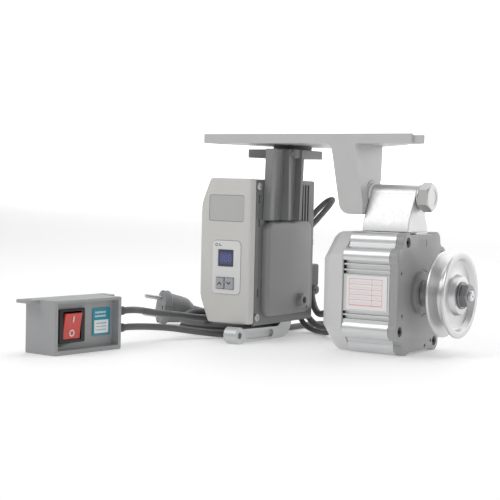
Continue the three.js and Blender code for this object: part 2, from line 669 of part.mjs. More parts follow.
const fin = { wide: 3, pitch: 5.6, deep: 3.4, low: 61.5, high: 98.5 };
const pad = { y0: -29, y1: 57, z0: -32, z1: 62, corner: 10, out: 7, wall: 2.5 };
const padBoss = { y: 34.5, z: -18.2, r: 6.5, out: 5.4, hole: 3.6 };
const slot = { x0: lever.x0 - 1.6, x1: lever.x1 + 1.2, y0: lever.y - 24, y1: lever.y + 25.5, relief: 1.7 };
const bearingBlock = { x0: -190, x1: -181, half: 11 };
function boxBody() {
  let body = prism("y", boxOutline(0.5, box.drop), body0, box.y1);
  const thick = box.wall;
  const thickFins = fin.deep + thick;
  const roomLow = block(box.x0 + 7.5, box.x1 - thick, body0 - 1, box.y1 - thick, box.z0 + thick, fin.low - 6);
  const roomHigh = block(box.x0 + 14, box.x1 - thickFins, body0 - 1, box.y1 - thick, 0, box.z1 - thick - 1);
  body = cut(body, roomLow.add(roomHigh).intersect(prism("y", boxOutline(thick), body0 - 2, box.y1)));
  for (let y = body0 + 15.4; y + fin.wide < box.y1 - 3; y += fin.pitch) {
    body = cut(body, block(box.x1 - fin.deep, box.x1 + 1, y, y + fin.wide, fin.low, fin.high));
  }
  for (let y = body0 + 8; y + fin.wide < box.y1 - 6; y += fin.pitch * 2) {
    body = cut(body, block(box.x0 - 1, box.x0 + fin.deep, y, y + fin.wide + 2.6, -6, 72));
  }
  // slot in the floor for the lever, and the block that carries its shaft
  body = cut(body, block(slot.x0, slot.x1, slot.y0, slot.y1, box.z0 - box.drop - 1, box.z0 + thick + 5.6));
  // a shallow groove ahead of the slot, for the lever's arm at its highest
  const under = box.z0 - box.drop + 0.5;
  body = cut(body, block(slot.x0, slot.x1, body0 - 1, slot.y0 + 1, under - 1, under + slot.relief));
  const { x0, x1, half } = bearingBlock;
  const foot = block(x0, x1, lever.y - half, lever.y + half, box.z0 + 1, lever.z);
  body = body.add(foot.add(bar("x", lever.y, lever.z, half - 1, x0, x1, 16)));
  body = cut(body, bar("x", lever.y, lever.z, lever.shaft + GAP, x0 - 1, x1 + 1, 14));
  // screw holes in the front column, and the cable hole behind
  for (const z of [96, -32]) body = cut(body, bar("x", -38.3, z, 2.2, box.x1 - 9, box.x1 + 1, 8));
  body = cut(body, bar("y", -176, 4, 6, box.y1 - 6, box.y1 + 1, 12));
  return body;
}
piece("box_body", boxBody(), castPaint());
[["top", 96], ["bottom", -32]].forEach(([where, z]) => {
  const shank = bar("x", -38.3, z, 1.8, box.x1 - 6, box.x1 + 0.2, 8);
  piece(`side_screw_${where}`, join(shank, bar("x", -38.3, z, 3.8, box.x1 - 0.2, box.x1 + 2, 14)), zinc());
});

function sideCover() {
  const face = (inset) => rounded(pad.y0 + inset, pad.y1 - inset, pad.z0 + inset, pad.z1 - inset, pad.corner - inset);
  const low = box.x1 + GAP - 0.5;
  let body = crowned("x", face, low, box.x1 + pad.out, 3, true);
  body = cut(body, prism("x", face(pad.wall), low - 1, box.x1 + pad.out - pad.wall));
  const { y, z, r, out, hole } = padBoss;
  const face0 = box.x1 + pad.out;
  body = body.add(bar("x", y, z, r, face0 - pad.wall, face0 + out, 18));
  return cut(body, bar("x", y, z, hole, face0 + 1, face0 + out + 1, 12));
}
piece("side_cover", sideCover(), finish(0x8f9193, 0.55, 0.1));

piece("circuit_board", block(-201, -168, body0 + 4, body0 + 5.6, -22, 92), finish(0x1f5a35, 0.6, 0.1));
piece("capacitor", bar("y", -184, 72, 11, body0 + 6, body0 + 42, 18), finish(0x2a2d33, 0.4, 0.1));
piece("power_module", block(-200, -172, body0 + 6, body0 + 16, 8, 44), finish(0x24262a, 0.6, 0.1));

// ---------------------------------------------------------------- box arm
const arm = {
  x0: box.x1 + GAP - 0.2,
  wall: 4,
  front: -27, // its edge towards the operator, at the top
  back: 31.5,
  low: pad.z1 + 1.2,
  under: 13, // from the plate's underside to the shelf's
  shelfThick: 8.5,
  ribFront: 4.4,
  ribMid: 4.9,
  ribMidLow: 9.5,
};
arm.shelf = plateLow - arm.under;
const disc = { x: -178, y: 58, r: 20 };
function boxArm() {
  const x1 = arm.x0 + arm.wall;
  const shelfTop = arm.shelf + arm.shelfThick;
  const { front, back, low } = arm;
  const top = shelfTop - 0.5;
  let body = prism("x", polygon([[front - 3, low], [back - 3, low], [back, top], [front, top]]), arm.x0, x1);
  // front rib, tapered middle rib and rear rib
  body = body.add(prism("x", polygon([[front - 3, low], [front, low], [front + 4, top], [front, top]]), arm.x0, x1 + arm.ribFront));
  const mid = polygon([
    [x1 - 0.5, low],
    [x1 + arm.ribMidLow, low],
    [x1 + arm.ribMid, top],
    [x1 - 0.5, top],
  ]);
  const lean = new THREE.Matrix4().set(1, 0, 0, 0, 0, 1, 6 / (top - low), (-6 / (top - low)) * top, 0, 0, 1, 0, 0, 0, 0, 1);
  const rib = geometryOf(prism("y", mid, 2.7, 6.9));
  rib.applyMatrix4(lean);
  body = body.add(solid(rib));
  const rear = polygon([[back - 7.5, low], [back - 3, low], [back, top], [back - 8, top]]);
  body = body.add(prism("x", rear, arm.x0, x1 + arm.ribMid + 1));
  body = body.add(prism("z", rounded(-206, x1 + 4, 11.5, disc.y + disc.r - 1, 7), arm.shelf, shelfTop));
  body = body.add(bar("z", disc.x, disc.y, disc.r, shelfTop - 1, plateLow - GAP, 28));
  body = body.add(hexagon("z", x1 + 4.5, 8, 9, shelfTop - 6, shelfTop - 3));
  return cut(body, bar("z", disc.x, disc.y, 4.4, arm.shelf - 1, plateLow + 1, 12));
}
piece("box_arm", boxArm(), castPaint());
piece(
  "arm_bolt",
  join(
    hexagon("z", disc.x, disc.y, 13, arm.shelf - 5.6, arm.shelf - GAP),
    bar("z", disc.x, disc.y, 4, arm.shelf - 1, plateLow - GAP, 12),
  ),
  zinc(),
);

// ---------------------------------------------------------------- treadle lever
function treadleLever() {
  const deg = Math.PI / 180;
  const { y, z, hub, bossY, bossZ, boss, x0, x1 } = lever;
  const low = FLOOR + 0.3;
  const high = low + 12;
  const s = new THREE.Shape();
  s.moveTo(bossY, bossZ - 6);
  s.lineTo(y - 26, low);
  s.lineTo(y - 2.5, low);
  s.absarc(y - 2.5, low + 18, 18, -90 * deg, -4 * deg, false);
  s.lineTo(y + hub, z);
  s.absarc(y, z, hub, 0, 180 * deg, false);
  s.lineTo(y - 4, low + 22);
  s.absarc(y - 14, low + 22, 10, 0, -90 * deg, true);
  s.lineTo(bossY, bossZ + 6);
  s.closePath();
  let body = prism("x", s, x0, x1);
  body = body.add(bar("x", bossY, bossZ, boss, x0 - 3, x1 + 0.8, 24));
  body = cut(body, bar("x", bossY, bossZ, 3.2, x0 - 5, x1 + 3, 14));
  body = cut(body, bar("x", y, z, lever.shaft + RUN, x0 - 1, x1 + 1, 14));
  const pocket = rounded(bossY + 14, y - 22, low + 2.6, high - 2.6, 3);
  return cut(body, prism("x", pocket, x1 - 2.5, x1 + 1));
}
piece("treadle_lever", treadleLever(), finish(0xa9abac, 0.45, 0.4));
const pinRight = box.x1 - box.wall - 0.6;
piece("lever_shaft", bar("x", lever.y, lever.z, lever.shaft, bearingBlock.x0 - 3, pinRight, 14), steel());
piece(
  "lever_spring",
  ring(bearingBlock.x1 + 0.6, lever.x0 - 1, lever.shaft + 0.8, lever.shaft + 3.6, 16, lever.y, lever.z),
  steel(),
);

// ---------------------------------------------------------------- connectors behind the box
const block0 = { x0: -189, x1: -164.5, y0: box.y1 + GAP, y1: box.y1 + 23, z0: -8, z1: 15.5 };
const glands = { box: -176, encoder: -184.5, motor: -167.5, y: box.y1 + 13.6, out: 4 };
const knob = { x: -171, z: -12.3, r: 5.8 };
function connectorBlock() {
  let body = prism("y", rounded(block0.x0, block0.x1, block0.z0, block0.z1, 2.5), block0.y0, block0.y1);
  for (const x of [glands.box, glands.encoder, glands.motor]) {
    body = body.add(bar("z", x, glands.y, 4.1, block0.z0 - glands.out, block0.z0 + 1, 12));
  }
  return body.add(bar("y", knob.x, knob.z, knob.r, block0.y1 - 4, block0.y1 + 4, 16));
}
piece("connector_block", connectorBlock(), blackPlastic());
const clipAt = { x: -168, y: box.y1 + 6.4, z0: 36, z1: 42, hole: 3.6 };
piece(
  "cable_clip",
  cut(
    join(
      bar("z", clipAt.x, clipAt.y, clipAt.hole + 1.4, clipAt.z0, clipAt.z1, 16),
      block(clipAt.x - 3, clipAt.x + 3, box.y1 + GAP, clipAt.y - clipAt.hole, clipAt.z0, clipAt.z1),
      block(clipAt.x - 3, clipAt.x + 3, box.y1 + GAP, box.y1 + 1.8, clipAt.z0, clipAt.z1 + 9),
      bar("y", clipAt.x, clipAt.z1 + 5, 2.7, box.y1 + 1, box.y1 + 3, 12),
    ),
    bar("z", clipAt.x, clipAt.y, clipAt.hole, clipAt.z0 - 1, clipAt.z1 + 1, 12),
  ),
  zinc(),
);
const loopY = clipAt.y;
piece(
  "link_lead",
  tube(
    [
      [-176, box.y1 + 1, 57],
      [-176, loopY + 1, 58],
      [-173.2, loopY + 9, 63],
      [-168, loopY + 19, 74],
      [-161, loopY + 26, 82.5],
      [-154, loopY + 24, 84],
      [-153.5, loopY + 15, 77],
      [-160, loopY + 6, 65],
      [-168, loopY, 52],
      [-168, loopY, 38],
      [-168.4, loopY + 1.2, 28],
      [-169, loopY + 3, 22],
      [-169, loopY + 3.4, block0.z1 + 2 * GAP],
    ],
    lead.link,
  ),
  rubber(),
);

// ---------------------------------------------------------------- switch box
// Its own frame: x along the front, y into the depth, z up; then turned to where it stands.
const local = new THREE.Group();
local.position.set(sw.x, sw.y, FLOOR);
local.rotation.z = (sw.yaw * Math.PI) / 180;
set.add(local);
home = local;
const bezel = { x0: 10.2, x1: 41.9, z0: 9.9, z1: 40 };
const well = { x0: 15, x1: 37, z0: 12.4, z1: 37.6 };
const exitsSw = { y: sw.deep / 2, mainsZ: 32.6, boxZ: 16.5 };
function switchBox() {
  const { wide, deep, high, wall, recess } = sw;
  let body = prism("z", rounded(0, wide, 0, deep, 2.4), 0, high);
  const face = rounded(3, wide - 5, 4, high - 2.6, 1.2);
  body = cut(body, prism("y", face, -1, recess));
  body = cut(body, block(wall, wide - wall, recess + wall, deep - wall, wall, high - wall));
  body = cut(body, block(bezel.x0 + 2, bezel.x1 - 2, recess - 1, recess + wall + 1, bezel.z0 + 1.5, bezel.z1 - 1.5));
  const earLow = high - 3;
  for (const [x0, x1] of [[-13, 4], [wide - 4, wide + 13]]) {
    const tab = prism("z", rounded(x0, x1, deep - 19, deep - 0.5, 4), earLow, high);
    const centre = x0 < 0 ? -6 : wide + 6;
    body = body.add(tab).subtract(bar("z", centre, deep - 9.8, 2.3, earLow - 1, high + 1, 10));
  }
  for (const z of [exitsSw.mainsZ, exitsSw.boxZ]) {
    body = cut(body, bar("x", exitsSw.y, z, 4.6, wide - 6, wide + 1, 12));
  }
  return body;
}
piece("switch_box", switchBox(), greyPlastic());
function switchBezel() {
  const { recess, wall } = sw;
  let body = prism("y", rounded(bezel.x0, bezel.x1, bezel.z0, bezel.z1, 1.2), recess - 2.6, recess - GAP);
  const barrel = block(bezel.x0 + 2.4, bezel.x1 - 2.4, recess - 1, recess + wall + 14, bezel.z0 + 2, bezel.z1 - 2);
  body = body.add(barrel);
  return cut(body, block(well.x0, well.x1, recess - 4, recess + 11, well.z0, well.z1));
}
piece("switch_bezel", switchBezel(), blackPlastic());
const tip = 8; // the rocker's tilt each way from level, degrees
const pivot = { y: sw.recess + 0.4, z: (well.z0 + well.z1) / 2 };
// Drawn level about its pivot, then tilted: its lower end is pressed in.
function rockerKey() {
  const level = [[8, -5], [-1.6, -11.8], [-3.7, -11.8], [-3, 0], [-3.7, 11.8], [-1.6, 11.8], [8, 5]];
  const a = (tip * Math.PI) / 180;
  const side = polygon(level.map(([u, v]) => [
    pivot.y + u * Math.cos(a) - v * Math.sin(a),
    pivot.z + u * Math.sin(a) + v * Math.cos(a),
  ]));
  return prism("x", side, well.x0 + 0.6, well.x1 - 0.6);
}
piece("rocker", rockerKey(), finish(0xc8322c, 0.35, 0));
piece(
  "switch_label",
  block(53.1, 75.8, sw.recess - 0.8, sw.recess - GAP, 13.6, 38.5),
  finish(0x1f93ad, 0.5, 0),
);
const relief = { long: 22, inner: 3 };
for (const [name, z] of [["mains_relief", exitsSw.mainsZ], ["box_lead_relief", exitsSw.boxZ]]) {
  const end = sw.wide + relief.long;
  const flange = sw.wide + GAP;
  const profile = [[sw.wide - relief.inner, 0], [sw.wide - relief.inner, 4.2], [flange, 4.2], [flange, 5.6],
    [flange + 4, 5.6], [end, lead.mains / 2 + 0.9], [end, 0]];
  piece(name, turned(profile, 12, exitsSw.y, z), rubber());
}
home = set;

// A point of the switch box's own frame in the layout frame.
function fromSwitch(x, y, z) {
  const a = (sw.yaw * Math.PI) / 180;
  return [sw.x + x * Math.cos(a) - y * Math.sin(a), sw.y + x * Math.sin(a) + y * Math.cos(a), FLOOR + z];
}

// ---------------------------------------------------------------- leads, coil and plug
const onFloor = (d) => FLOOR + d / 2 + 0.4;
const coilInner = coil.mid - (coil.wide / 2) * lead.mains;
const coilOuter = coil.mid + (coil.wide / 2) * lead.mains;
const coilTop = FLOOR + coil.layers * lead.mains;
const start = (z, on = 0) => fromSwitch(sw.wide + relief.long + 2 * GAP + on, exitsSw.y, z);
const over = coilTop + lead.mains / 2 + GAP;
piece(
  "mains_lead",
  tube(
    [
      start(exitsSw.mainsZ),
      start(exitsSw.mainsZ, 9),
      [-244.5, -112, -25.8],
      [-243, -96, -28.4],
      [-241.5, -74, -31.5],
      [-240.5, -50, -34.6],
      [-239.5, -28, -37.8],
      [-236, -8, over],
      [-226, 8, over],
      [-216, 17.5, over],
      [-211, 24.5, over],
    ],
    lead.mains,
  ),
  rubber(),
);
{
  const profile = [
    [0, coilInner],
    [coil.layers * lead.mains - 0.1, coilInner],
    [coil.layers * lead.mains - 0.1, coilOuter],
    [0, coilOuter],
    [0, coilInner],
  ].map(([h, r]) => new THREE.Vector2(r, h));
  const g = new THREE.LatheGeometry(profile.reverse(), 28);
  g.rotateX(Math.PI / 2);
  g.translate(coil.x, coil.y, FLOOR + 0.05);
  piece("mains_coil", solid(g), rubber());
}
const heading = (plug.heading * Math.PI) / 180;
const dip = (plug.tilt * Math.PI) / 180;
// A point on the plug's axis, along millimetres behind its pin face.
function onPlug(along) {
  const flat = along * Math.cos(dip);
  return [plug.x + flat * Math.cos(heading), plug.y + flat * Math.sin(heading), plug.z - along * Math.sin(dip)];
}
const plugEnd = onPlug(plug.long + plug.relief + GAP);
const beside = coilOuter + lead.mains / 2 + GAP + 0.3;
const joinAngle = (40 * Math.PI) / 180;
piece(
  "plug_lead",
  tube(
    [
      plugEnd,
      onPlug(plug.long + plug.relief + 10),
      [-276, 94, -49],
      [-265, 103, -50.5],
      [-250, 106, -52],
      [-236, 102, onFloor(lead.mains)],
      [-225, 94, onFloor(lead.mains)],
      [-212, 83, onFloor(lead.mains)],
      [coil.x + beside * Math.cos(joinAngle), coil.y + beside * Math.sin(joinAngle), onFloor(lead.mains)],
    ],
    lead.mains,
  ),
  rubber(),
);
{
  const { disc, discThick, long, relief } = plug;
  const end = long + relief;
  const profile = [[0, 0], [0, disc - 1], [1, disc], [discThick, disc], [discThick + 2, disc - 2.5], [long - 8, 13.5],
    [long, 9], [long, 5.4], [end, lead.mains / 2 + 0.9], [end, 0]];
  let body = turned(profile, 24);
  for (const z of [-9.5, 9.5]) body = body.add(bar("x", 0, z, 2.4, -19, 1, 10));
  const mesh = piece("mains_plug", body, rubber());
  mesh.position.set(plug.x, plug.y, plug.z);
  mesh.rotation.set(0, dip, heading, "ZYX");
}
piece(
  "box_lead",
  tube(
    [
      start(exitsSw.boxZ),
      start(exitsSw.boxZ, 9),
      [-240, -104, -42],
      [-233, -76, -45],
      [-221, -50, -49.5],
      [-206, -27, -52.8],
      [-195, -4, onFloor(lead.box)],
      [-190, 22, onFloor(lead.box)],
      [-189, 48, onFloor(lead.box)],
      [-189, 76, onFloor(lead.box)],
      [-189, 100, onFloor(lead.box)],
      [-188, 122, onFloor(lead.box)],
      [-179, 139, onFloor(lead.box)],
      [-163, 145, onFloor(lead.box)],
      [-146, 138, onFloor(lead.box)],
      [-137, 120, onFloor(lead.box)],
      [-140.5, 104, onFloor(lead.box)],
      [-150, 95.5, -52.9],
      [-162.7, 90.6, -49.2],
      [-172.4, 87.7, -39.3],
      [glands.box, glands.y, -25],
      [glands.box, glands.y, block0.z0 - glands.out - 2 * GAP],
    ],
    lead.box,
  ),
  rubber(),
);
const rearExit = coverBack - exits.long - 2 * GAP;
piece(
  "motor_lead",
  tube(
    [
      [rearExit, exits.y, exits.motorZ],
      [rearExit - 8, exits.y, exits.motorZ - 0.6],
      [-106, 40, -23.5],
      [-120, 46.5, -28],
      [-133, 56.5, -32],
      [-144, 67, -34.8],
      [-153, 75.5, -34.4],
      [-161, 82.5, -29.5],
      [-166, 86, -21],
      [glands.motor, glands.y, block0.z0 - glands.out - 2 * GAP],
    ],
    lead.motor,
  ),
  rubber(),
);
piece(
  "encoder_lead",
  tube(
    [
      [rearExit, exits.y, exits.encoderZ],
      [rearExit - 8, exits.y, exits.encoderZ - 0.6],
      [-105, 40.5, -41],
      [-118, 47, -48],
      [-131, 57, -52.4],
      [-145, 69, onFloor(lead.encoder)],
      [-158.2, 77.4, onFloor(lead.encoder)],
      [-171.3, 82.1, -49.6],
      [-181, 85.5, -39.5],
      [glands.encoder, glands.y, -25],
      [glands.encoder, glands.y, block0.z0 - glands.out - 2 * GAP],
    ],
    lead.encoder,
  ),
  rubber(),
);

// ---------------------------------------------------------------- the set's own frame
// Centred on the pieces that aren't leads or on a lead, and standing on z = 0.
const onLeads = ["mains_lead", "mains_coil", "plug_lead", "mains_plug", "box_lead", "motor_lead", "encoder_lead"];
set.updateMatrixWorld(true);
const own = new THREE.Box3();
set.traverse((o) => {
  if (o.isMesh && !onLeads.includes(o.name)) own.union(new THREE.Box3().setFromObject(o, true));
});
const centre = own.getCenter(new THREE.Vector3());
set.position.set(-centre.x, -centre.y, -own.min.z);
const group = new THREE.Group();
group.add(set);
export default group;
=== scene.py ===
"""The looks of the sewing machine drive set: its finishes, its rounded and detailed pieces, and its leads.

Places are written in millimetres in the motor's layout frame: the origin is on the shaft axis at the front face
of the motor's front end cap, +X runs along the shaft towards the pulley, +Y away from the operator, +Z up.
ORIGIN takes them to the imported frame, in metres.
"""

import json
import math
from types import SimpleNamespace

import bpy
import bmesh
import numpy as np
from mathutils import Matrix, Vector

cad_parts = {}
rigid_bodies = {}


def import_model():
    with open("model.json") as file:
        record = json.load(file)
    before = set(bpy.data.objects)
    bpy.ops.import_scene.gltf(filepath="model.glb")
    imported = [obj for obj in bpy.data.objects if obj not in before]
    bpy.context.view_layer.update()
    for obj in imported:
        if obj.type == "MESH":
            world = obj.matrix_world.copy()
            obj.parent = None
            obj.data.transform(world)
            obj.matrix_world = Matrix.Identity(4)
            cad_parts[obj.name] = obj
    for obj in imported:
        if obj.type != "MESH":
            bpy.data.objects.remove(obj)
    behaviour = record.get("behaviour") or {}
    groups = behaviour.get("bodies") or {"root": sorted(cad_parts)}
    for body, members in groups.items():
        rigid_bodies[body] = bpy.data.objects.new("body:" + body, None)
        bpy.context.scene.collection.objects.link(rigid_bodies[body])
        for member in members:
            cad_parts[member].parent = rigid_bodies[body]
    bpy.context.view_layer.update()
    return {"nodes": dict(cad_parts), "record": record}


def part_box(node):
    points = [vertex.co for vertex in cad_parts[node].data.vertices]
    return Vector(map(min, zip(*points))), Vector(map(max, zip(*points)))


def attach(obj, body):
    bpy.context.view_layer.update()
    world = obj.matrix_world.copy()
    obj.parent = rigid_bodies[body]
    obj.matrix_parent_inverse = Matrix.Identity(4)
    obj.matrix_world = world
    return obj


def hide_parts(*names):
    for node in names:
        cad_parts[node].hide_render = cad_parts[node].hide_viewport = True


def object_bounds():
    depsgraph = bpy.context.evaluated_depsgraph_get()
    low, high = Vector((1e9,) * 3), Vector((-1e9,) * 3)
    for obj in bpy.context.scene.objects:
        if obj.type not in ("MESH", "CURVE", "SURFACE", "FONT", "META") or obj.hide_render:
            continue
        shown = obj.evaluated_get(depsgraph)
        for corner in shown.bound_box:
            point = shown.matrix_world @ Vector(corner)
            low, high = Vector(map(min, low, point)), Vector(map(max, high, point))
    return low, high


for leftover in list(bpy.data.objects):
    bpy.data.objects.remove(leftover)
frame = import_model()
MM = 0.001
SHAFT_END = 51.5
shaft_low, shaft_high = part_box("motor_shaft")
ORIGIN = np.array(
    [shaft_high[0] - SHAFT_END * MM, (shaft_low[1] + shaft_high[1]) / 2, (shaft_low[2] + shaft_high[2]) / 2]
)
FLOOR = -56.6


def placed(points):
    """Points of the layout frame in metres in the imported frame."""
    return np.asarray(points, float) * MM + ORIGIN


def put(obj, body, slot, *nodes):
    """The piece rides on a body and stands for CAD nodes, which it hides. The slot argument is not used."""
    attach(obj, body)
    for node in nodes:
        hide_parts(node)
    return obj


# ------------------------------------------------------------------ camera
def camera():
    """A long lens, a little above the set's middle, turned to its right front."""
    azimuth, pitch, roll = math.radians(32.259), math.radians(2.685), math.radians(1.297)
    back = Vector((math.sin(azimuth) * math.cos(pitch), -math.cos(azimuth) * math.cos(pitch), math.sin(pitch)))
    right = Vector((math.cos(azimuth), math.sin(azimuth), 0))
    up = back.cross(right)
    rolled_right = math.cos(roll) * right + math.sin(roll) * up
    rolled_up = -math.sin(roll) * right + math.cos(roll) * up
    data = bpy.data.cameras.new("camera")
    data.lens, data.sensor_width = 94.75, 36
    data.clip_end = 20
    obj = bpy.data.objects.new("camera", data)
    bpy.context.scene.collection.objects.link(obj)
    turn = Matrix((rolled_right, rolled_up, back)).transposed().to_4x4()
    obj.matrix_world = Matrix.Translation(placed((520, -1126.6, 94.15))) @ turn
    bpy.context.scene.camera = obj


camera()


# ------------------------------------------------------------------ finishes
class Value:
    """A number in a shader, so that arithmetic on it writes Math nodes."""

    def __init__(self, shader, socket):
        self.shader, self.socket = shader, socket

    def math(self, operation, *others, swap=False):
        terms = [self, *others]
        return self.shader.node("ShaderNodeMath", {"operation": operation}, terms[::-1] if swap else terms)

    def __add__(self, other):
        return self.math("ADD", other)

    def __sub__(self, other):
        return self.math("SUBTRACT", other)

    def __mul__(self, other):
        return self.math("MULTIPLY", other)

    def __truediv__(self, other):
        return self.math("DIVIDE", other)

    def __rsub__(self, other):
        return self.math("SUBTRACT", other, swap=True)

    __radd__, __rmul__ = __add__, __mul__

    def between(self, low, high):
        """1 where the value lies between low and high, else 0."""
        return self.math("GREATER_THAN", low) * self.math("LESS_THAN", high)

    def ramp(self, low, high, to_low=0.0, to_high=1.0):
        """The value's range low..high carried to to_low..to_high, and held beyond."""
        settings = {"clamp": True}
        return self.shader.node("ShaderNodeMapRange", settings, [self, low, high, to_low, to_high])


class Shader:
    """A material being written: a Principled surface, and nodes that feed it."""

    def __init__(self, name, color, roughness, metallic=0.0, **fixed):
        self.material = bpy.data.materials.new(name)
        self.material.use_nodes = True
        self.tree = self.material.node_tree
        self.surface = self.tree.nodes["Principled BSDF"]
        self.set("Base Color", color)
        self.set("Roughness", roughness)
        self.set("Metallic", metallic)
        for key, value in fixed.items():
            self.set(key.replace("_", " ").title(), value)
        self.material.diffuse_color = (*color[:3], 1)

    def set(self, name, value):
        self._feed(self.surface.inputs[name], value)

    def _feed(self, target, value):
        if isinstance(value, Value):
            self.tree.links.new(value.socket, target)
        elif hasattr(target.default_value, "__len__") and not hasattr(value, "__len__"):
            target.default_value = [value] * len(target.default_value)
        elif hasattr(value, "__len__") and len(value) == 3 and len(target.default_value) == 4:
            target.default_value = (*value, 1)
        else:
            target.default_value = value

    def node(self, kind, settings=None, inputs=(), out=0):
        """Any node, by its type, settings and inputs (a list in order, or a dict by name)."""
        made = self.tree.nodes.new(kind)
        for key, value in (settings or {}).items():
            setattr(made, key, value)
        pairs = inputs.items() if isinstance(inputs, dict) else enumerate(inputs)
        for key, value in pairs:
            self._feed(made.inputs[key], value)
        return Value(self, made.outputs[out])

    def coordinates(self):
        """The point in the layout frame, in millimetres, as x, y and z."""
        here = self.node("ShaderNodeTexCoord", out="Object")
        moved = self.node("ShaderNodeVectorMath", {"operation": "SUBTRACT"}, [here, tuple(ORIGIN)])
        scaled = self.node("ShaderNodeVectorMath", {"operation": "SCALE"}, {0: moved, "Scale": 1 / MM})
        parts = [self.node("ShaderNodeSeparateXYZ", None, [scaled], out=i) for i in range(3)]
        self.point = scaled
        return parts

    def noise(self, per_mm, detail=2.0, stretch=(1, 1, 1), roughness=0.5):
        """Noise from 0 to 1 with per_mm cells to a millimetre, stretched along the axes."""
        if not hasattr(self, "point"):
            self.coordinates()
        scaled = self.node("ShaderNodeVectorMath", {"operation": "MULTIPLY"}, [self.point, stretch])
        settings = {"noise_dimensions": "3D"}
        inputs = {"Vector": scaled, "Scale": per_mm, "Detail": detail, "Roughness": roughness}
        return self.node("ShaderNodeTexNoise", settings, inputs)

    def bump(self, height, depth_mm):
        """Relief: height 0..1 is that many millimetres."""
        inputs = {"Height": height, "Distance": depth_mm * MM, "Strength": 1.0}
        self.set("Normal", self.node("ShaderNodeBump", None, inputs))

    def blend(self, factor, low, high):
        """A colour between low and high."""
        mix = self.tree.nodes.new("ShaderNodeMix")
        mix.data_type = "RGBA"
        self._feed(mix.inputs[0], factor)
        for socket, value in ((mix.inputs[6], low), (mix.inputs[7], high)):
            self._feed(socket, value)
        return Value(self, mix.outputs[2])


def grey(value, warm=0.0):
    return (value * (1 + warm), value, value * (1 - warm))


def enamel(name, value, warm=0.0, grain=0.02, roughness=0.4, coat=0.25):
    """Paint on a casting: a fine orange peel over slow unevenness, and slightly uneven gloss."""
    s = Shader(name, grey(value, warm), roughness, coat_weight=coat, coat_roughness=0.25)
    slow, peel = s.noise(0.05, 3), s.noise(1.6, 2)
    s.set("Base Color", s.blend(slow, grey(value * 0.96, warm), grey(value * 1.04, warm)))
    s.set("Roughness", slow.ramp(0.3, 0.7, roughness - 0.05, roughness + 0.07))
    s.bump(peel * 0.7 + slow * 2.0, grain)
    return s.material


def textured_plastic(name, color, roughness=0.55, grain=0.012, per_mm=3.2):
    """Moulded plastic with a spark-eroded texture."""
    s = Shader(name, color, roughness)
    fine, slow = s.noise(per_mm, 3, roughness=0.7), s.noise(0.04, 2)
    s.set("Base Color", s.blend(slow, [c * 0.97 for c in color], [c * 1.03 for c in color]))
    s.set("Roughness", fine.ramp(0.2, 0.8, roughness - 0.08, roughness + 0.08))
    s.bump(fine, grain)
    return s.material


def drawn_metal(name, color, roughness, stretch, per_mm=1.2, grain=0.004, spread=0.08):
    """Metal with fine lines along one axis: noise stretched along it."""
    s = Shader(name, color, roughness, 1.0)
    lines, slow = s.noise(per_mm, 3, stretch), s.noise(0.03, 2)
    s.set("Roughness", lines.ramp(0.25, 0.75, roughness - spread, roughness + spread))
    s.set("Base Color", s.blend(slow, [c * 0.95 for c in color], color))
    s.bump(lines, grain)
    return s.material


def turned_metal(name, color, roughness, y=0.0, z=0.0, grain=0.003):
    """Metal turned about an X axis: its fine lines are noise over the radius and the place along it."""
    s = Shader(name, color, roughness, 1.0)
    x, py, pz = s.coordinates()
    radius = ((py - y) * (py - y) + (pz - z) * (pz - z)).math("SQRT")
    spot = s.node("ShaderNodeCombineXYZ", None, [x, radius, 0.0])
    inputs = {"Vector": spot, "Scale": 3.0, "Detail": 4.0}
    rings = s.node("ShaderNodeTexNoise", {"noise_dimensions": "2D"}, inputs)
    s.set("Roughness", rings.ramp(0.3, 0.7, roughness - 0.06, roughness + 0.08))
    s.bump(rings, grain)
    return s.material


def cast_metal(name, color, roughness):
    """Sand or die cast metal: metallic, with a fine rough skin."""
    s = Shader(name, color, roughness, 0.75)
    skin, slow = s.noise(1.1, 4, roughness=0.65), s.noise(0.06, 2)
    s.set("Base Color", s.blend(slow, [c * 0.9 for c in color], color))
    s.set("Roughness", skin.ramp(0.3, 0.7, roughness - 0.06, roughness + 0.1))
    s.bump(skin, 0.03)
    return s.material


def sheath(name, value):
    """Flexible PVC: dull, with faint marks."""
    s = Shader(name, grey(value), 0.5)
    marks = s.noise(0.25, 4)
    s.set("Base Color", s.blend(marks, grey(value * 0.88), grey(value * 1.1)))
    s.set("Roughness", marks.ramp(0.3, 0.7, 0.42, 0.58))
    s.bump(s.noise(1.5, 2), 0.01)
    return s.material


def rating_film():
    """White film with a pale red table: rows along z, one divider, a frame, and grey bars for its entries."""
    s = Shader("rating film", (0.86, 0.85, 0.845), 0.38, coat_weight=0.3)
    x, _, z = s.coordinates()
    left, right, low, high, rows = -48.5, -15.5, -11.0, 13.0, 5
    inside = x.between(left, right) * z.between(low, high)
    step = (high - low) / rows
    row = ((z - low) / step).math("FRACT")
    line = row.between(0.0, 0.09) * inside
    divider = x.between(-25.9, -25.4) * inside
    edge = x.between(left - 0.5, right + 0.5) * z.between(low - 0.5, high + 0.5) * (1.0 - inside)
    red = (line + divider + edge).math("MINIMUM", 1.0)
    column = (x * 0.9).math("FRACT").between(0.15, 0.8)
    words = row.between(0.36, 0.62) * (x.between(left + 2, -28) + x.between(-24, right - 2)) * inside * column
    red_or_white = s.blend(red, (0.86, 0.85, 0.845), (0.78, 0.36, 0.36))
    s.set("Base Color", s.blend(words * 0.3, red_or_white, (0.75, 0.33, 0.33)))
    return s.material


def pulse(value, centre, half):
    return value.between(centre - half, centre + half)


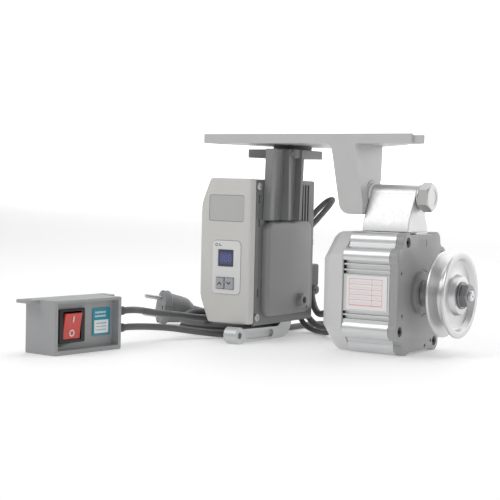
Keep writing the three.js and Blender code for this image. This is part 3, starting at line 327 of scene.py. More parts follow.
# ------------------------------------------------------------------ shapes
def arc(u, v, radius, start, end, step=5.0):
    """Points on a circle from one angle to another, in degrees."""
    count = max(2, int(abs(end - start) / step) + 1)
    angles = np.radians(np.linspace(start, end, count))
    return np.column_stack([u + radius * np.cos(angles), v + radius * np.sin(angles)])


def ring(u, v, radius, count=48):
    angles = np.arange(count) / count * 2 * math.pi
    return np.column_stack([u + radius * np.cos(angles), v + radius * np.sin(angles)])


def rounded(u0, u1, v0, v1, radius, step=9.0):
    """A rectangle with four quarter circles."""
    corners = [(u1 - radius, v0 + radius, -90), (u1 - radius, v1 - radius, 0),
               (u0 + radius, v1 - radius, 90), (u0 + radius, v0 + radius, 180)]
    return np.vstack([arc(u, v, radius, a, a + 90, step) for u, v, a in corners])


def polygon(points, radius=0.0, step=12.0):
    """A polygon whose corners are rounded by arcs of that radius, where there's room."""
    points = np.asarray(points, float)
    if radius <= 0:
        return points
    result = []
    for i, corner in enumerate(points):
        a, b = points[i - 1] - corner, points[(i + 1) % len(points)] - corner
        la, lb = np.linalg.norm(a), np.linalg.norm(b)
        angle = math.acos(np.clip(a @ b / la / lb, -1, 1))
        reach = min(radius / math.tan(angle / 2), 0.45 * la, 0.45 * lb)
        start, end = corner + a / la * reach, corner + b / lb * reach
        count = max(2, round(math.degrees(math.pi - angle) / step) + 1)
        for t in np.linspace(0, 1, count):
            result.append((1 - t) ** 2 * start + 2 * t * (1 - t) * corner + t**2 * end)
    return np.array(result)


def inset(outline, distance):
    """A closed outline moved inwards: each point goes along its corner's bisector."""
    p = np.asarray(outline, float)
    before, after = p - np.roll(p, 1, 0), np.roll(p, -1, 0) - p
    turn = np.sign(np.sum(p[:, 0] * np.roll(p[:, 1], -1) - np.roll(p[:, 0], -1) * p[:, 1]))
    normals = [np.column_stack([-d[:, 1], d[:, 0]]) / np.linalg.norm(d, axis=1)[:, None] for d in (before, after)]
    bisector = normals[0] + normals[1]
    length = np.sum(bisector * normals[0], axis=1)[:, None]
    return p + turn * distance * bisector / np.maximum(length, 0.5)


PLACE = {
    "x": lambda u, v, w: (w, u, v),
    "y": lambda u, v, w: (u, w, v),
    "z": lambda u, v, w: (u, v, w),
}


def skin(sections):
    """A closed surface through sections with equal numbers of points, with a flat cap at both ends."""
    count = len(sections[0])
    verts = np.vstack(sections)
    faces = [tuple(range(count))[::-1]]
    for s in range(len(sections) - 1):
        a = s * count
        faces += [(a + i, a + (i + 1) % count, a + count + (i + 1) % count, a + count + i) for i in range(count)]
    faces.append(tuple(range((len(sections) - 1) * count, len(sections) * count)))
    return verts, faces


def section(axis, outline, at):
    u, v = np.asarray(outline, float).T
    return np.column_stack(PLACE[axis](u, v, np.full(len(u), float(at))))


def prism(axis, outline, start, end, edge=0.0, both=False):
    """An outline drawn across an axis, extruded; edge rounds the rim at end (and at start if both).

    The outline is a list of points, or a function of the inset that gives them.

    The rim is a quarter circle: at angle t the outline is inset by edge * (1 - cos t) and lies edge * sin t on.
    """
    way = 1 if end > start else -1
    quarter = np.radians([0, 22.5, 45, 67.5, 90])
    stations = [(start, 0.0)]
    if both and edge > 0:
        stations = [(start + way * edge * (1 - math.sin(t)), edge * (1 - math.cos(t))) for t in quarter[::-1]]
    if edge > 0:
        stations += [(end - way * edge * (1 - math.sin(t)), edge * (1 - math.cos(t))) for t in quarter]
    else:
        stations.append((end, 0.0))
    drawn = outline if callable(outline) else lambda d: inset(outline, d) if d else outline
    return skin([section(axis, drawn(d), w) for w, d in stations])


def block(x0, x1, y0, y1, z0, z1):
    return prism("z", [(x0, y0), (x1, y0), (x1, y1), (x0, y1)], z0, z1)


def bar(axis, u, v, radius, start, end, count=40, edge=0.0, both=False):
    return prism(axis, ring(u, v, radius, count), start, end, edge, both)


def band(rows):
    """Closed rings of points joined one to the next, and the last to the first."""
    count, turns = len(rows[0]), len(rows)
    faces = []
    for k in range(turns):
        a, b = k * count, (k + 1) % turns * count
        faces += [(a + i, a + (i + 1) % count, b + (i + 1) % count, b + i) for i in range(count)]
    return np.vstack(rows), faces


def turned(profile, count=96, y=0.0, z=0.0, soft=0.4):
    """A closed profile of [along X, radius] turned about the X axis through (y, z), with its corners eased."""
    points = polygon(profile, soft, 30) if soft else np.asarray(profile, float)
    rows = len(points)
    angles = np.arange(count) / count * 2 * math.pi
    verts = np.vstack([
        np.column_stack([points[:, 0], y + points[:, 1] * math.cos(a), z + points[:, 1] * math.sin(a)])
        for a in angles
    ])
    faces = []
    for i in range(count):
        a, b = i * rows, (i + 1) % count * rows
        faces += [(a + k, a + (k + 1) % rows, b + (k + 1) % rows, b + k) for k in range(rows)]
    return verts, faces


def spun(profile, count=64):
    """An open profile of [along X, radius] that starts and ends on the axis, turned about X."""
    points = np.asarray(profile, float)
    angles = np.arange(count) / count * 2 * math.pi
    rows = [np.column_stack([np.full(count, h), r * np.cos(angles), r * np.sin(angles)]) for h, r in points]
    return skin(rows)


def hexagon(u, v, across):
    return ring(u, v, across / math.sqrt(3), 6)


def nut_prism(axis, u, v, across, start, end, turn=0.0):
    """A hexagon, turned by so many degrees, whose outer end is chamfered by a cone."""
    radius = across / math.sqrt(3)
    way = 1 if end > start else -1
    outline = arc(u, v, radius, turn, turn + 300, 60)
    fine = np.vstack([np.linspace(outline[i], outline[(i + 1) % 6], 8, endpoint=False) for i in range(6)])
    centre = np.array([u, v])
    distance = np.linalg.norm(fine - centre, axis=1)

    def held(limit):
        return centre + (fine - centre) * np.minimum(1, limit / distance)[:, None]

    def rise(limit):
        return (np.maximum(distance, limit) - limit) * 0.55

    sections = [section(axis, fine, start)]
    shoulder = section(axis, fine, end)
    axis_index = "xyz".index(axis)
    shoulder[:, axis_index] -= way * rise(across / 2 * 0.97)
    shoulder[:, axis_index] -= way * 0.15
    sections.append(shoulder)
    sections.append(section(axis, held(across / 2 * 0.97), end))
    return skin(sections)


def raw_object(shape, name="work"):
    verts, faces = shape
    mesh = bpy.data.meshes.new(name)
    mesh.from_pydata(placed(verts).tolist(), [], [tuple(int(i) for i in f) for f in faces])
    tidy = bmesh.new()
    tidy.from_mesh(mesh)
    bmesh.ops.remove_doubles(tidy, verts=tidy.verts, dist=1e-7)
    bmesh.ops.recalc_face_normals(tidy, faces=tidy.faces)
    tidy.to_mesh(mesh)
    tidy.free()
    obj = bpy.data.objects.new(name, mesh)
    bpy.context.scene.collection.objects.link(obj)
    return obj


def worked(obj, tools, operation):
    """Tools joined to the object or cut from it."""
    if not tools:
        return
    for shape in tools:
        tool = raw_object(shape)
        change = obj.modifiers.new("work", "BOOLEAN")
        change.operation, change.object, change.solver = operation, tool, "EXACT"
        graph = bpy.context.evaluated_depsgraph_get()
        mesh = bpy.data.meshes.new_from_object(obj.evaluated_get(graph))
        obj.modifiers.clear()
        old, obj.data = obj.data, mesh
        bpy.data.meshes.remove(old)
        bpy.data.objects.remove(tool)


def shaped(name, parts, cuts=(), bevel=0.5, segments=2, angle=32):
    """A piece: its parts joined, the cuts taken away, sharp edges rounded, and smooth elsewhere."""
    obj = raw_object(parts[0], name)
    worked(obj, parts[1:], "UNION")
    worked(obj, cuts, "DIFFERENCE")
    mesh = obj.data
    mesh.name = name
    mesh.materials.clear()
    tidy = bmesh.new()
    tidy.from_mesh(mesh)
    bmesh.ops.remove_doubles(tidy, verts=tidy.verts, dist=2e-6)
    bmesh.ops.dissolve_limit(tidy, angle_limit=math.radians(1), verts=tidy.verts, edges=tidy.edges)
    tidy.to_mesh(mesh)
    tidy.free()
    mesh.shade_smooth()
    if bevel:
        rounding = obj.modifiers.new("rounding", "BEVEL")
        rounding.width, rounding.segments = bevel * MM, segments
        rounding.limit_method, rounding.angle_limit = "ANGLE", math.radians(angle)
        rounding.harden_normals, rounding.use_clamp_overlap = True, True
        rounding.miter_outer = "MITER_ARC"
    else:
        mesh.set_sharp_from_angle(angle=math.radians(angle))
    return obj


def smoothed(obj, angle=40):
    """Smooth shading, but for edges sharper than the angle."""
    obj.data.shade_smooth()
    obj.data.set_sharp_from_angle(angle=math.radians(angle))
    return obj


def painted(obj, material):
    obj.data.materials.append(material)
    return obj


# ------------------------------------------------------------------ leads
def smooth_route(points, spacing=2.0):
    """A centripetal Catmull-Rom curve through the points, sampled evenly."""
    p = np.asarray(points, float)
    p = np.vstack([2 * p[0] - p[1], p, 2 * p[-1] - p[-2]])
    knots = np.concatenate([[0], np.cumsum(np.linalg.norm(np.diff(p, axis=0), axis=1) ** 0.5)])
    result = []
    for i in range(1, len(p) - 2):
        t0, t1, t2, t3 = knots[i - 1 : i + 3]
        t = np.linspace(t1, t2, 24, endpoint=False)[:, None]
        a1 = (t1 - t) / (t1 - t0) * p[i - 1] + (t - t0) / (t1 - t0) * p[i]
        a2 = (t2 - t) / (t2 - t1) * p[i] + (t - t1) / (t2 - t1) * p[i + 1]
        a3 = (t3 - t) / (t3 - t2) * p[i + 1] + (t - t2) / (t3 - t2) * p[i + 2]
        b1 = (t2 - t) / (t2 - t0) * a1 + (t - t0) / (t2 - t0) * a2
        b2 = (t3 - t) / (t3 - t1) * a2 + (t - t1) / (t3 - t1) * a3
        result.append((t2 - t) / (t2 - t1) * b1 + (t - t1) / (t2 - t1) * b2)
    fine = np.vstack(result + [p[-2][None]])
    along = np.concatenate([[0], np.cumsum(np.linalg.norm(np.diff(fine, axis=0), axis=1))])
    count = max(8, int(along[-1] / spacing))
    return np.column_stack([np.interp(np.linspace(0, along[-1], count), along, fine[:, k]) for k in range(3)])


def tube(name, path, diameter, sides=16):
    """A round tube along a path: each ring is the last one turned by as much as the path turns."""
    tangents = np.gradient(path, axis=0)
    tangents /= np.linalg.norm(tangents, axis=1)[:, None]
    side = np.cross(tangents[0], (0, 0, 1))
    side /= np.linalg.norm(side)
    angles = np.arange(sides) / sides * 2 * math.pi
    rings = []
    for point, t in zip(path, tangents):
        side = side - t * (side @ t)
        side /= np.linalg.norm(side)
        other = np.cross(t, side)
        offset = np.outer(np.cos(angles), side) + np.outer(np.sin(angles), other)
        rings.append(point + offset * diameter / 2)
    obj = raw_object(skin(rings), name)
    smoothed(obj, 60)
    return obj


SW = SimpleNamespace(x=-232.6, y=-249.2, yaw=84.6, wide=84.5, deep=39.3, high=48.4, recess=8.0, wall=2.5)
LEAD = {"mains": 6.5, "box": 6.5, "motor": 7.0, "encoder": 5.5, "link": 6.0}
COIL = SimpleNamespace(x=-244.0, y=38.0, mid=39.0)
PLUG = SimpleNamespace(x=-324.0, y=30.0, z=-36.8, heading=52, tilt=8, disc=18.5, long=36.0, relief=22.0)
RELIEF = 22.0
GAP = 0.3  # between fixed pieces
RUN = 0.4  # around bolts and pins


def from_switch(points):
    """Points of the switch box's own frame (along its front, into its depth, up) in the layout frame."""
    p = np.atleast_2d(np.asarray(points, float))
    a = math.radians(SW.yaw)
    return np.column_stack([
        SW.x + p[:, 0] * math.cos(a) - p[:, 1] * math.sin(a),
        SW.y + p[:, 0] * math.sin(a) + p[:, 1] * math.cos(a),
        FLOOR + p[:, 2],
    ])


def switch_exit(z, on=0.0):
    return from_switch((SW.wide + RELIEF + 2 * GAP + on, SW.deep / 2, z))[0]


def on_floor(diameter):
    return FLOOR + diameter / 2 + 0.4


def on_plug(along):
    """A point on the plug's axis, so many millimetres behind its pin face."""
    dip, heading = math.radians(PLUG.tilt), math.radians(PLUG.heading)
    flat = along * math.cos(dip)
    return (
        PLUG.x + flat * math.cos(heading),
        PLUG.y + flat * math.sin(heading),
        PLUG.z - along * math.sin(dip),
    )


def ease(t):
    t = np.clip(t, 0, 1)
    return t * t * (3 - 2 * t)


def coil_turns(d):
    """Six turns in three columns and two layers, entered from on top and left at the floor.

    The angle runs on from 0 at the coil's right. Columns lie a diameter apart. The lead rides on top, rolls over
    the middle column to the outer one, moves a column inwards twice, drops a layer, and moves outwards until it
    leaves beside the coil. Each move takes 60 degrees, and no two moves that touch share a sector.
    """
    top, low, mid = FLOOR + 1.5 * d + 0.1, FLOOR + 0.5 * d + 0.1, COIL.mid
    angle = np.radians(np.arange(0, 2200, 7.5))
    degrees = np.degrees(angle)

    def move(start):
        return ease((degrees - start) / 60)

    roll = np.radians(98) * (1 - move(160))
    riding = 1 - (degrees > 220)
    radius = np.where(riding, mid + 1.04 * d * np.cos(roll), mid + d)
    radius = radius - d * move(460) - d * move(820) + d * move(1420) + d * move(1780) + 1.05 * d * move(2140)
    height = np.where(riding, top + 1.04 * d * np.sin(roll), top) - (top - low) * move(1120)
    return np.column_stack([COIL.x + radius * np.cos(angle), COIL.y + radius * np.sin(angle), height])


def leads(material):
    d = LEAD["mains"]
    over = FLOOR + 2.5 * d + 0.4
    to_coil = [
        switch_exit(32.6), switch_exit(32.6, 9), (-244.5, -112, -25.8), (-243, -96, -28.4), (-241.5, -74, -31.5),
        (-240.5, -50, -34.6), (-239.5, -28, -37.8), (-236, -8, over), (-226, 8, over), (-213, 21, over),
    ]
    to_plug = [
        (-212, 83, on_floor(d)), (-225, 94, on_floor(d)), (-236, 102, on_floor(d)), (-250, 106, -52),
        (-265, 103, -50.5), (-276, 94, -49), on_plug(PLUG.long + PLUG.relief + 10),
        on_plug(PLUG.long + PLUG.relief + GAP),
    ]
    routes = {
        "mains": np.vstack([to_coil, coil_turns(d), to_plug]),
        "box": [
            switch_exit(16.5), switch_exit(16.5, 9), (-240, -104, -42), (-233, -76, -45), (-221, -50, -49.5),
            (-206, -27, -52.8), *[(x, y, on_floor(LEAD["box"])) for x, y in (
                (-195, -4), (-190, 22), (-189, 48), (-189, 76), (-189, 100), (-188, 122), (-179, 139), (-163, 145),
                (-146, 138), (-137, 120), (-140.5, 104))],
            (-150, 95.5, -52.9), (-162.7, 90.6, -49.2), (-172.4, 87.7, -39.3), (-176, 86.6, -25),
            (-176, 86.6, -12.6),
        ],
        "motor": [
            (-83.8, 38, -20), (-91.8, 38, -20.6), (-106, 40, -23.5), (-120, 46.5, -28), (-133, 56.5, -32),
            (-144, 67, -34.8), (-153, 75.5, -34.4), (-161, 82.5, -29.5), (-166, 86, -21), (-167.5, 86.6, -12.6),
        ],
        "encoder": [
            (-83.8, 38, -36), (-91.8, 38, -36.6), (-105, 40.5, -41), (-118, 47, -48), (-131, 57, -52.4),
            (-145, 69, on_floor(LEAD["encoder"])), (-158.2, 77.4, on_floor(LEAD["encoder"])), (-171.3, 82.1, -49.6),
            (-181, 85.5, -39.5), (-184.5, 86.6, -25), (-184.5, 86.6, -12.6),
        ],
    }
    replaced = {
        "mains": ["mains_lead", "mains_coil", "plug_lead"], "box": ["box_lead"],
        "motor": ["motor_lead"], "encoder": ["encoder_lead"],
    }
    made = {}
    for key, route in routes.items():
        path = smooth_route(route, 2.0)
        obj = tube(f"lead_{key}", path, LEAD[key])
        painted(obj, material)
        put(obj, "stand", "lead_rubber", *replaced[key])
        made[key] = (obj, path)
    return made


lead_material = sheath("grey sheath", 0.13)
LEADS = leads(lead_material)


def declare_leads(plug_pieces):
    """Goes over the leads; their length, ends and how they lie are not recorded anywhere."""
    for key, (obj, path) in LEADS.items():
        "coiled" if key == "mains" else "loose"
        plug_pieces if key == "mains" else []


# ------------------------------------------------------------------ driving dimensions, as in the CAD
HINGE = SimpleNamespace(y=-3.5, z=89.4, bolt=6.0, barrel=11.4, ear=15.0, right=-1.7, left=-48.5)
PLATE = SimpleNamespace(top=147.7, thick=9.2, front=-29.7, left=-230.8, right=-0.8, back=112.0)
EAR = SimpleNamespace(left=-75.4, right=-51.4)
LEG = SimpleNamespace(centre=-63.0, wide=25.4, slant=0.178, foot=72.0)
CAP = 7.9
HOUSING = SimpleNamespace(front=-8.2, back=-55.7)
COVER = SimpleNamespace(front=-56.0, back=-78.0)
BOX = SimpleNamespace(x0=-216.8, x1=-158.3, y0=-52.0, y1=73.0, z0=-38.4, z1=103.6, drop=2.8, cover=9.0, wall=3.4)
BODY0 = BOX.y0 + BOX.cover + 1.6
LEVER = SimpleNamespace(x0=-172.5, x1=-162.5, y=22.0, z=-14.0, hub=9.0, boss_y=-61.4, boss_z=-48.3, boss=8.0)
LEVER_ROOM = (LEVER.x0 - 1.6, LEVER.x1 + 1.2)
PLATE_LOW = PLATE.top - PLATE.thick

# ------------------------------------------------------------------ materials used
light_enamel = enamel("light grey enamel", 0.56, 0.004, 0.02, 0.36)
cover_enamel = enamel("off white enamel", 0.66, 0.003, 0.03, 0.38)
cap_enamel = enamel("grey enamel", 0.36, 0.0, 0.02, 0.42)
body_enamel = enamel("dark grey enamel", 0.2, -0.01, 0.03, 0.46, 0.15)
pad_enamel = enamel("mid grey enamel", 0.27, -0.008, 0.015, 0.42, 0.15)
extrusion = drawn_metal("drawn aluminium", (0.72, 0.725, 0.73), 0.38, (0.03, 1, 1), grain=0.001)
hanger_metal = drawn_metal("milled aluminium", (0.72, 0.72, 0.725), 0.44, (1, 1, 0.05), grain=0.001)
pulley_metal = turned_metal("turned aluminium", (0.66, 0.66, 0.665), 0.32, grain=0.001)
hinge_metal = turned_metal("zinc plate", (0.6, 0.6, 0.595), 0.34, HINGE.y, HINGE.z)
screw_metal = drawn_metal("screw zinc", (0.6, 0.6, 0.595), 0.36, (1, 1, 1))
shaft_metal = turned_metal("ground steel", (0.72, 0.73, 0.75), 0.24)
nut_metal = drawn_metal("black oxide", (0.3, 0.3, 0.31), 0.36, (1, 1, 1))
lever_metal = cast_metal("cast aluminium", (0.66, 0.67, 0.675), 0.46)
arm_metal = enamel("arm enamel", 0.26, -0.008, 0.04, 0.5, 0.1)
cover_plastic = textured_plastic("warm grey plastic", (0.63, 0.625, 0.6), 0.5)
panel_plastic = textured_plastic("panel film", (0.74, 0.745, 0.735), 0.35, 0.003)
window_plastic = textured_plastic("window film", (0.5, 0.5, 0.49), 0.35, 0.003)
switch_plastic = textured_plastic("mid grey plastic", (0.36, 0.365, 0.37), 0.5)
black_plastic = textured_plastic("black plastic", (0.02, 0.02, 0.022), 0.42, 0.006)
dark_plastic = textured_plastic("dark grey plastic", (0.09, 0.091, 0.093), 0.5)
key_plastic = textured_plastic("key plastic", (0.4, 0.41, 0.43), 0.45, 0.004)
mark_ink = textured_plastic("dark mark", (0.05, 0.05, 0.055), 0.5, 0.001)
white_ink = textured_plastic("white mark", (0.85, 0.85, 0.85), 0.45, 0.001)
red_plastic = Shader("red plastic", (0.62, 0.05, 0.035), 0.22, coat_weight=0.35).material
gasket_rubber = textured_plastic("gasket rubber", (0.025, 0.025, 0.027), 0.7)
plug_plastic = textured_plastic("plug plastic", (0.26, 0.265, 0.27), 0.5)


# ------------------------------------------------------------------ table bracket
def bracket():
    p, low = PLATE, PLATE_LOW
    front = p.front
    right, back = p.right, p.back
    outline = polygon([
        (p.left, front), (right, front), (right, front + 4), (right - 26, front + 44), (right - 79, front + 96),
        (right - 104, back), (p.left + 35, back), (p.left + 17, front + 98), (p.left + 6, front + 42),
        (p.left, front + 35),
    ], 2.2)
    lug = polygon([
        (right - 8, front + 4), (right + 11.9, front + 4), (right - 2.1, front + 24), (right - 24, front + 36),
    ], 1.5)
    lean, foot, half = LEG.slant, LEG.foot, LEG.wide / 2
    centre = LEG.centre - lean * (low - HINGE.z)
    hy, hz = HINGE.y, HINGE.z

    def leaning(shape):
        verts, faces = shape
        verts = verts.copy()
        verts[:, 0] += lean * (low - verts[:, 2])
        return verts, faces

    def side(over):
        """The side wall's outline, which ends so far above the foot."""
        return [
            (front + 0.01, low + 2), (front + 62, low + 2), (front + 57.5, low - 1.5), (front + 52, low - 16),
            (front + 46, hz + 17), (front + 43.2, hz + 13), (hy + HINGE.ear + 1, hz + 6), (hy + HINGE.ear, hz),
            (hy + 8, hz - 12), (hy, foot + 0.7 + over), (front + 0.01, foot + over),
        ]

    face = np.vstack([
        [(centre - half - 8, low + 2), (centre + half + 2, low + 2), (centre + half + 2, low - 0.01)],
        arc(centre + half + 1.5, low - 1.5, 1.5, 95, 180, 20),
        arc(centre + half - 1.2, foot + 1.2, 1.2, 0, -90, 30),
        arc(centre - half + 9, foot + 9, 9, -90, -180, 12),
        arc(centre - half - 7, low - 7, 7, 0, 88, 10),
    ])
    walls = [
        leaning(prism("y", face, front, front + 7)),
        leaning(prism("x", side(0), centre + half - 6.5, centre + half)),
        leaning(prism("x", side(9), centre - half, centre - half + 4.5)),
        bar("x", hy, hz, HINGE.ear, EAR.left, EAR.right, 72),
    ]
    half_long, half_wide, margin = 9, 4.2, 15.8
    slots = [
        prism("z", rounded(x - half_long, x + half_long, y - half_wide, y + half_wide, 4.1), low - 5, p.top + 5)
        for x, y in ((-214, front + margin), (-24, front + margin), (-150.3, p.back - margin))
    ]
    room = [
        bar("x", hy, hz, HINGE.bolt + RUN, EAR.left - 30, EAR.right + 30),
        bar("x", hy, hz, 14.4, EAR.left - 30, EAR.left, 64),
        bar("x", hy, hz, 13.6, EAR.right, HINGE.left + 8, 64),
        block(HINGE.left - 0.6, HINGE.left + 30, front - 1, hy + 60, foot - 1, hz + HINGE.ear + 2),
    ]
    plates = [prism("z", outline, low, p.top), prism("z", lug, low, p.top - 1.4)]
    piece = shaped("bracket_casting", [*plates, *walls], [*room, *slots], 1.0, 3)
    put(painted(piece, light_enamel), "stand", "bracket_paint", "bracket")


def hinge():
    y, z = HINGE.y, HINGE.z
    right, bolt = HINGE.right, HINGE.bolt
    head0 = right + 2.5
    head = shaped("hinge_bolt_head", [
        nut_prism("x", y, z, 24, head0, head0 + 10, 30),
        bar("x", y, z, 11.6, head0 - 0.2, head0 + 0.6, 64),
        bar("x", y, z, bolt, EAR.left - 7, head0 + 1, 32, 0.6),
    ], [bar("x", y, z, 7.5, head0 + 9.55, head0 + 12, 48)], 0.35)
    put(painted(head, hinge_metal), "stand", "zinc", "hinge_bolt")
    washer = raw_object(turned([
        (right + GAP, bolt + RUN), (right + 2.2, bolt + RUN), (right + 2.2, 12.1), (right + GAP, 12.1),
    ], 96, y, z, 0.5), "hinge_washer_plate")
    spacer = raw_object(turned([
        (EAR.right + GAP, bolt + RUN), (HINGE.left - GAP, bolt + RUN), (HINGE.left - GAP, 12.5),
        (EAR.right + GAP, 12.5),
    ], 96, y, z, 0.5), "hinge_spacer_ring")
    for obj, material, slot, node in (
        (washer, hinge_metal, "zinc", "hinge_washer"),
        (spacer, white_ink, "steel", "hinge_spacer"),
    ):
        obj.data.shade_smooth()
        put(painted(obj, material), "stand", slot, node)
    nut = shaped("hinge_lock_nut", [nut_prism("x", y, z, 22, EAR.left - 0.3, EAR.left - 6.3)],
                 [bar("x", y, z, bolt + 0.3, EAR.left - 9, EAR.left + 1)], 0.3)
    put(painted(nut, hinge_metal), "stand", "zinc", "hinge_nut")


bracket()
hinge()

# ------------------------------------------------------------------ motor
HALF_Y, HALF_Z, LOBE = 53.4, 56.6, 9.0
SIDE_LOBE = (44.4, 33.4)
TOP_LOBE = (31.2, 47.6)
TIE_BOLTS = [(-31.2, 47.6), (-44.4, -33.4), (31.2, -47.6), (44.4, 33.4)]
FLAT_Y = SIDE_LOBE[0] + LOBE * math.cos(math.radians(40))
FLAT_Z = TOP_LOBE[1] + LOBE * math.sin(math.radians(50))


def lobed(step=7.0):
    """Eight lobes, two at each corner, with straight flats between the corners."""
    (sy, sz), (ty, tz) = SIDE_LOBE, TOP_LOBE
    spans = [
        (sy, sz, -40, 100), (ty, tz, -10, 130), (-ty, tz, 50, 190), (-sy, sz, 80, 220),
        (-sy, -sz, 140, 280), (-ty, -tz, 170, 310), (ty, -tz, 230, 370), (sy, -sz, 260, 400),
    ]
    return np.vstack([arc(u, v, LOBE, a, b, step) for u, v, a, b in spans])


def motor_housing():
    front, back = HOUSING.front, HOUSING.back
    cuts = [bar("x", 0, 0, 45.2, back - 3, front + 3, 96)]
    cuts += [bar("x", y, z, 2.7, back - 3, front + 3, 20) for y, z in TIE_BOLTS]
    for side in (-1, 1):
        near, far = side * (FLAT_Y - 4), side * (FLAT_Y + 6)
        for low, high in ((17.4, 20.4), (22, 25.6), (27.3, 30.2), (-19.6, -16.8), (-24.2, -21.1)):
            cuts.append(block(back - 3, front + 3, min(near, far), max(near, far), low, high))
    piece = shaped("motor_extrusion", [prism("x", lobed(), back, front)], cuts, 0.35)
    put(painted(piece, extrusion), "motor", "satin_aluminium", "motor_housing")


def front_end_cap():
    parts = [prism("x", lobed(), -CAP, 0, 0.7), bar("x", 0, 0, 19.4, -1, 2.8, 96, 0.6)]
    cuts = [bar("x", 0, 0, 9.5, -CAP - 3, 6, 64), bar("x", 0, 0, 16.2, -CAP - 3, 0.4, 64)]
    for y, z in TIE_BOLTS:
        cuts += [bar("x", y, z, 2.7, -CAP - 3, 3, 20), bar("x", y, z, 4.7, -4.9, 3, 40)]
    small_holes = ((-43.9, 19.8), (-40.6, -19.4), (23.4, -46.5), (10.1, -50.5))
    cuts += [bar("x", y, z, 1.7, -5, 3, 20) for y, z in small_holes]
    # a shallow step around the boss, and a small blank plate recess near the top
    cuts.append(prism("x", rounded(-7, 9, 43.2, 49.6, 1.2), -0.35, 3))
    cuts.append(turned([(-0.5, 20.4), (2, 20.4), (2, 22.2), (-0.5, 22.2)], 96, soft=0))
    piece = shaped("front_cap", parts, cuts, 0.3)
    put(painted(piece, cap_enamel), "motor", "cap_paint", "front_end_cap")


def rear_cover():
    w, h, c = HALF_Y, HALF_Z - 0.3, 22.0

    def octagon(x, d):
        half_w, half_h, cut = w - d, h - d, c - d * 0.4
        corners = [
            (half_w, half_h - cut), (half_w - cut, half_h), (cut - half_w, half_h), (-half_w, half_h - cut),
            (-half_w, cut - half_h), (cut - half_w, -half_h), (half_w - cut, -half_h), (half_w, cut - half_h),
        ]
        return section("x", polygon(corners, 3.0, 10), x)

    front, back = COVER.front, COVER.back
    outer = skin([octagon(front, 0), octagon(front - 13, 0.6), octagon(front - 17, 2.2), octagon(back, 6)])
    inner = skin([octagon(front + 3, 3), octagon(front - 13, 3.6), octagon(back + 3, 8)])
    exits = [bar("x", 38, z, 6, back - 5, back + 6, 40, 0) for z in (-20, -36)]
    piece = shaped("rear_cover_casting", [outer, *exits], [inner], 0.8, 3, 20)
    put(painted(piece, cover_enamel), "motor", "cover_paint", "rear_cover")


def tie_bolts():
    for i, (y, z) in enumerate(TIE_BOLTS):
        piece = shaped(f"tie_screw_{i + 1}", [
            bar("x", y, z, 4.4, -4.6, -0.7, 48, 0.5), bar("x", y, z, 2.2, COVER.front - 7, -4, 20),
        ], [prism("x", hexagon(y, z, 3.6), -2.8, 2)], 0.15)
        put(painted(piece, black_plastic), "motor", "steel", f"tie_bolt_{i + 1}")


def motor_hanger():
    y, z, top = HINGE.y, HINGE.z, HALF_Z + 0.3
    left, right = HINGE.left, HINGE.right
    outline = np.vstack([
        [(y - 26, top), (y + 17.7, top), (y + 10.8, z - 17)],
        arc(y, z, HINGE.barrel, 0, 168, 4),
        [(y - 24, z - 22)],
    ])
    web = prism("x", outline, left, right)
    tongue = block(left + 2, right - 8, y - 17, y + 11, FLAT_Z + 0.3, top + 0.5)
    bore = bar("x", y, z, HINGE.bolt + RUN, left - 20, right + 3)
    piece = shaped("hanger_block", [web, tongue], [bore], 0.7, 3)
    put(painted(piece, hanger_metal), "motor", "satin_aluminium", "motor_hanger")


def label_plate():
    outline = rounded(HOUSING.back + 4, HOUSING.front - 2, -14.9, 16.4, 1.2)
    piece = shaped("rating_film", [prism("y", outline, -FLAT_Y - 0.3, -FLAT_Y - 0.8)], (), 0.08)
    put(painted(piece, rating_film()), "motor", "label_film", "rating_label")


motor_housing()
front_end_cap()
rear_cover()
tie_bolts()
motor_hanger()
label_plate()


# ------------------------------------------------------------------ pulley and shaft
def pulley():
    f, r, wide = 40.0, 40.0, 17.8
    back, mid, half = f - wide, f - wide / 2, 6.5
    bottom = half - 12 * math.tan(math.radians(18))
    profile = [
        (3.4, 7.3), (3.4, 12.2), (back + 3, 12.2), (back + 3, r - 11), (back, r - 9), (back, r), (mid - half, r),
        (mid - bottom, r - 12), (mid + bottom, r - 12), (mid + half, r), (f, r), (f, r - 6), (f - 4.5, r - 8),
        (f - 4.5, 19.0), (f + 1, 17.5), (f + 1, 7.3),
    ]
    wheel = raw_object(turned(profile, 160, soft=0.7), "pulley_wheel")
    worked(wheel, [bar("z", 12.5, 0, 2.4, 5, 20, 32)], "DIFFERENCE")
    smoothed(wheel)
    put(painted(wheel, pulley_metal), "rotor", "turned_aluminium", "pulley")
    nut = shaped("pulley_lock_nut", [
        nut_prism("x", 0, 0, 20, f + 2.4, f + 9.3), bar("x", 0, 0, 12.6, f + 1.3, f + 2.8, 64, 0.4),
    ], [bar("x", 0, 0, 5.2, f - 1, f + 12)], 0.25)
    put(painted(nut, nut_metal), "rotor", "black_steel", "pulley_nut")
    end, thread = SHAFT_END, 4.9
    points = [(-75, 0.02), (-75, 3.4), (-71, 3.4), (-71, 5.7), (-64, 5.7), (-64, 7), (f + 1, 7), (f + 1, thread)]
    turns, pitch = 9, 1.1
    for i in range(turns):
        start = f + 1.4 + i * pitch
        points += [(start, thread), (start + pitch * 0.35, thread - 0.45), (start + pitch * 0.7, thread - 0.45)]
    points += [(end - 0.6, thread - 0.1), (end, thread - 0.8), (end, 1.8), (end - 3, 0.02)]
    shaft = raw_object(spun(points, 48), "rotor_shaft")
    smoothed(shaft, 35)
    put(painted(shaft, shaft_metal), "rotor", "steel", "motor_shaft")


pulley()


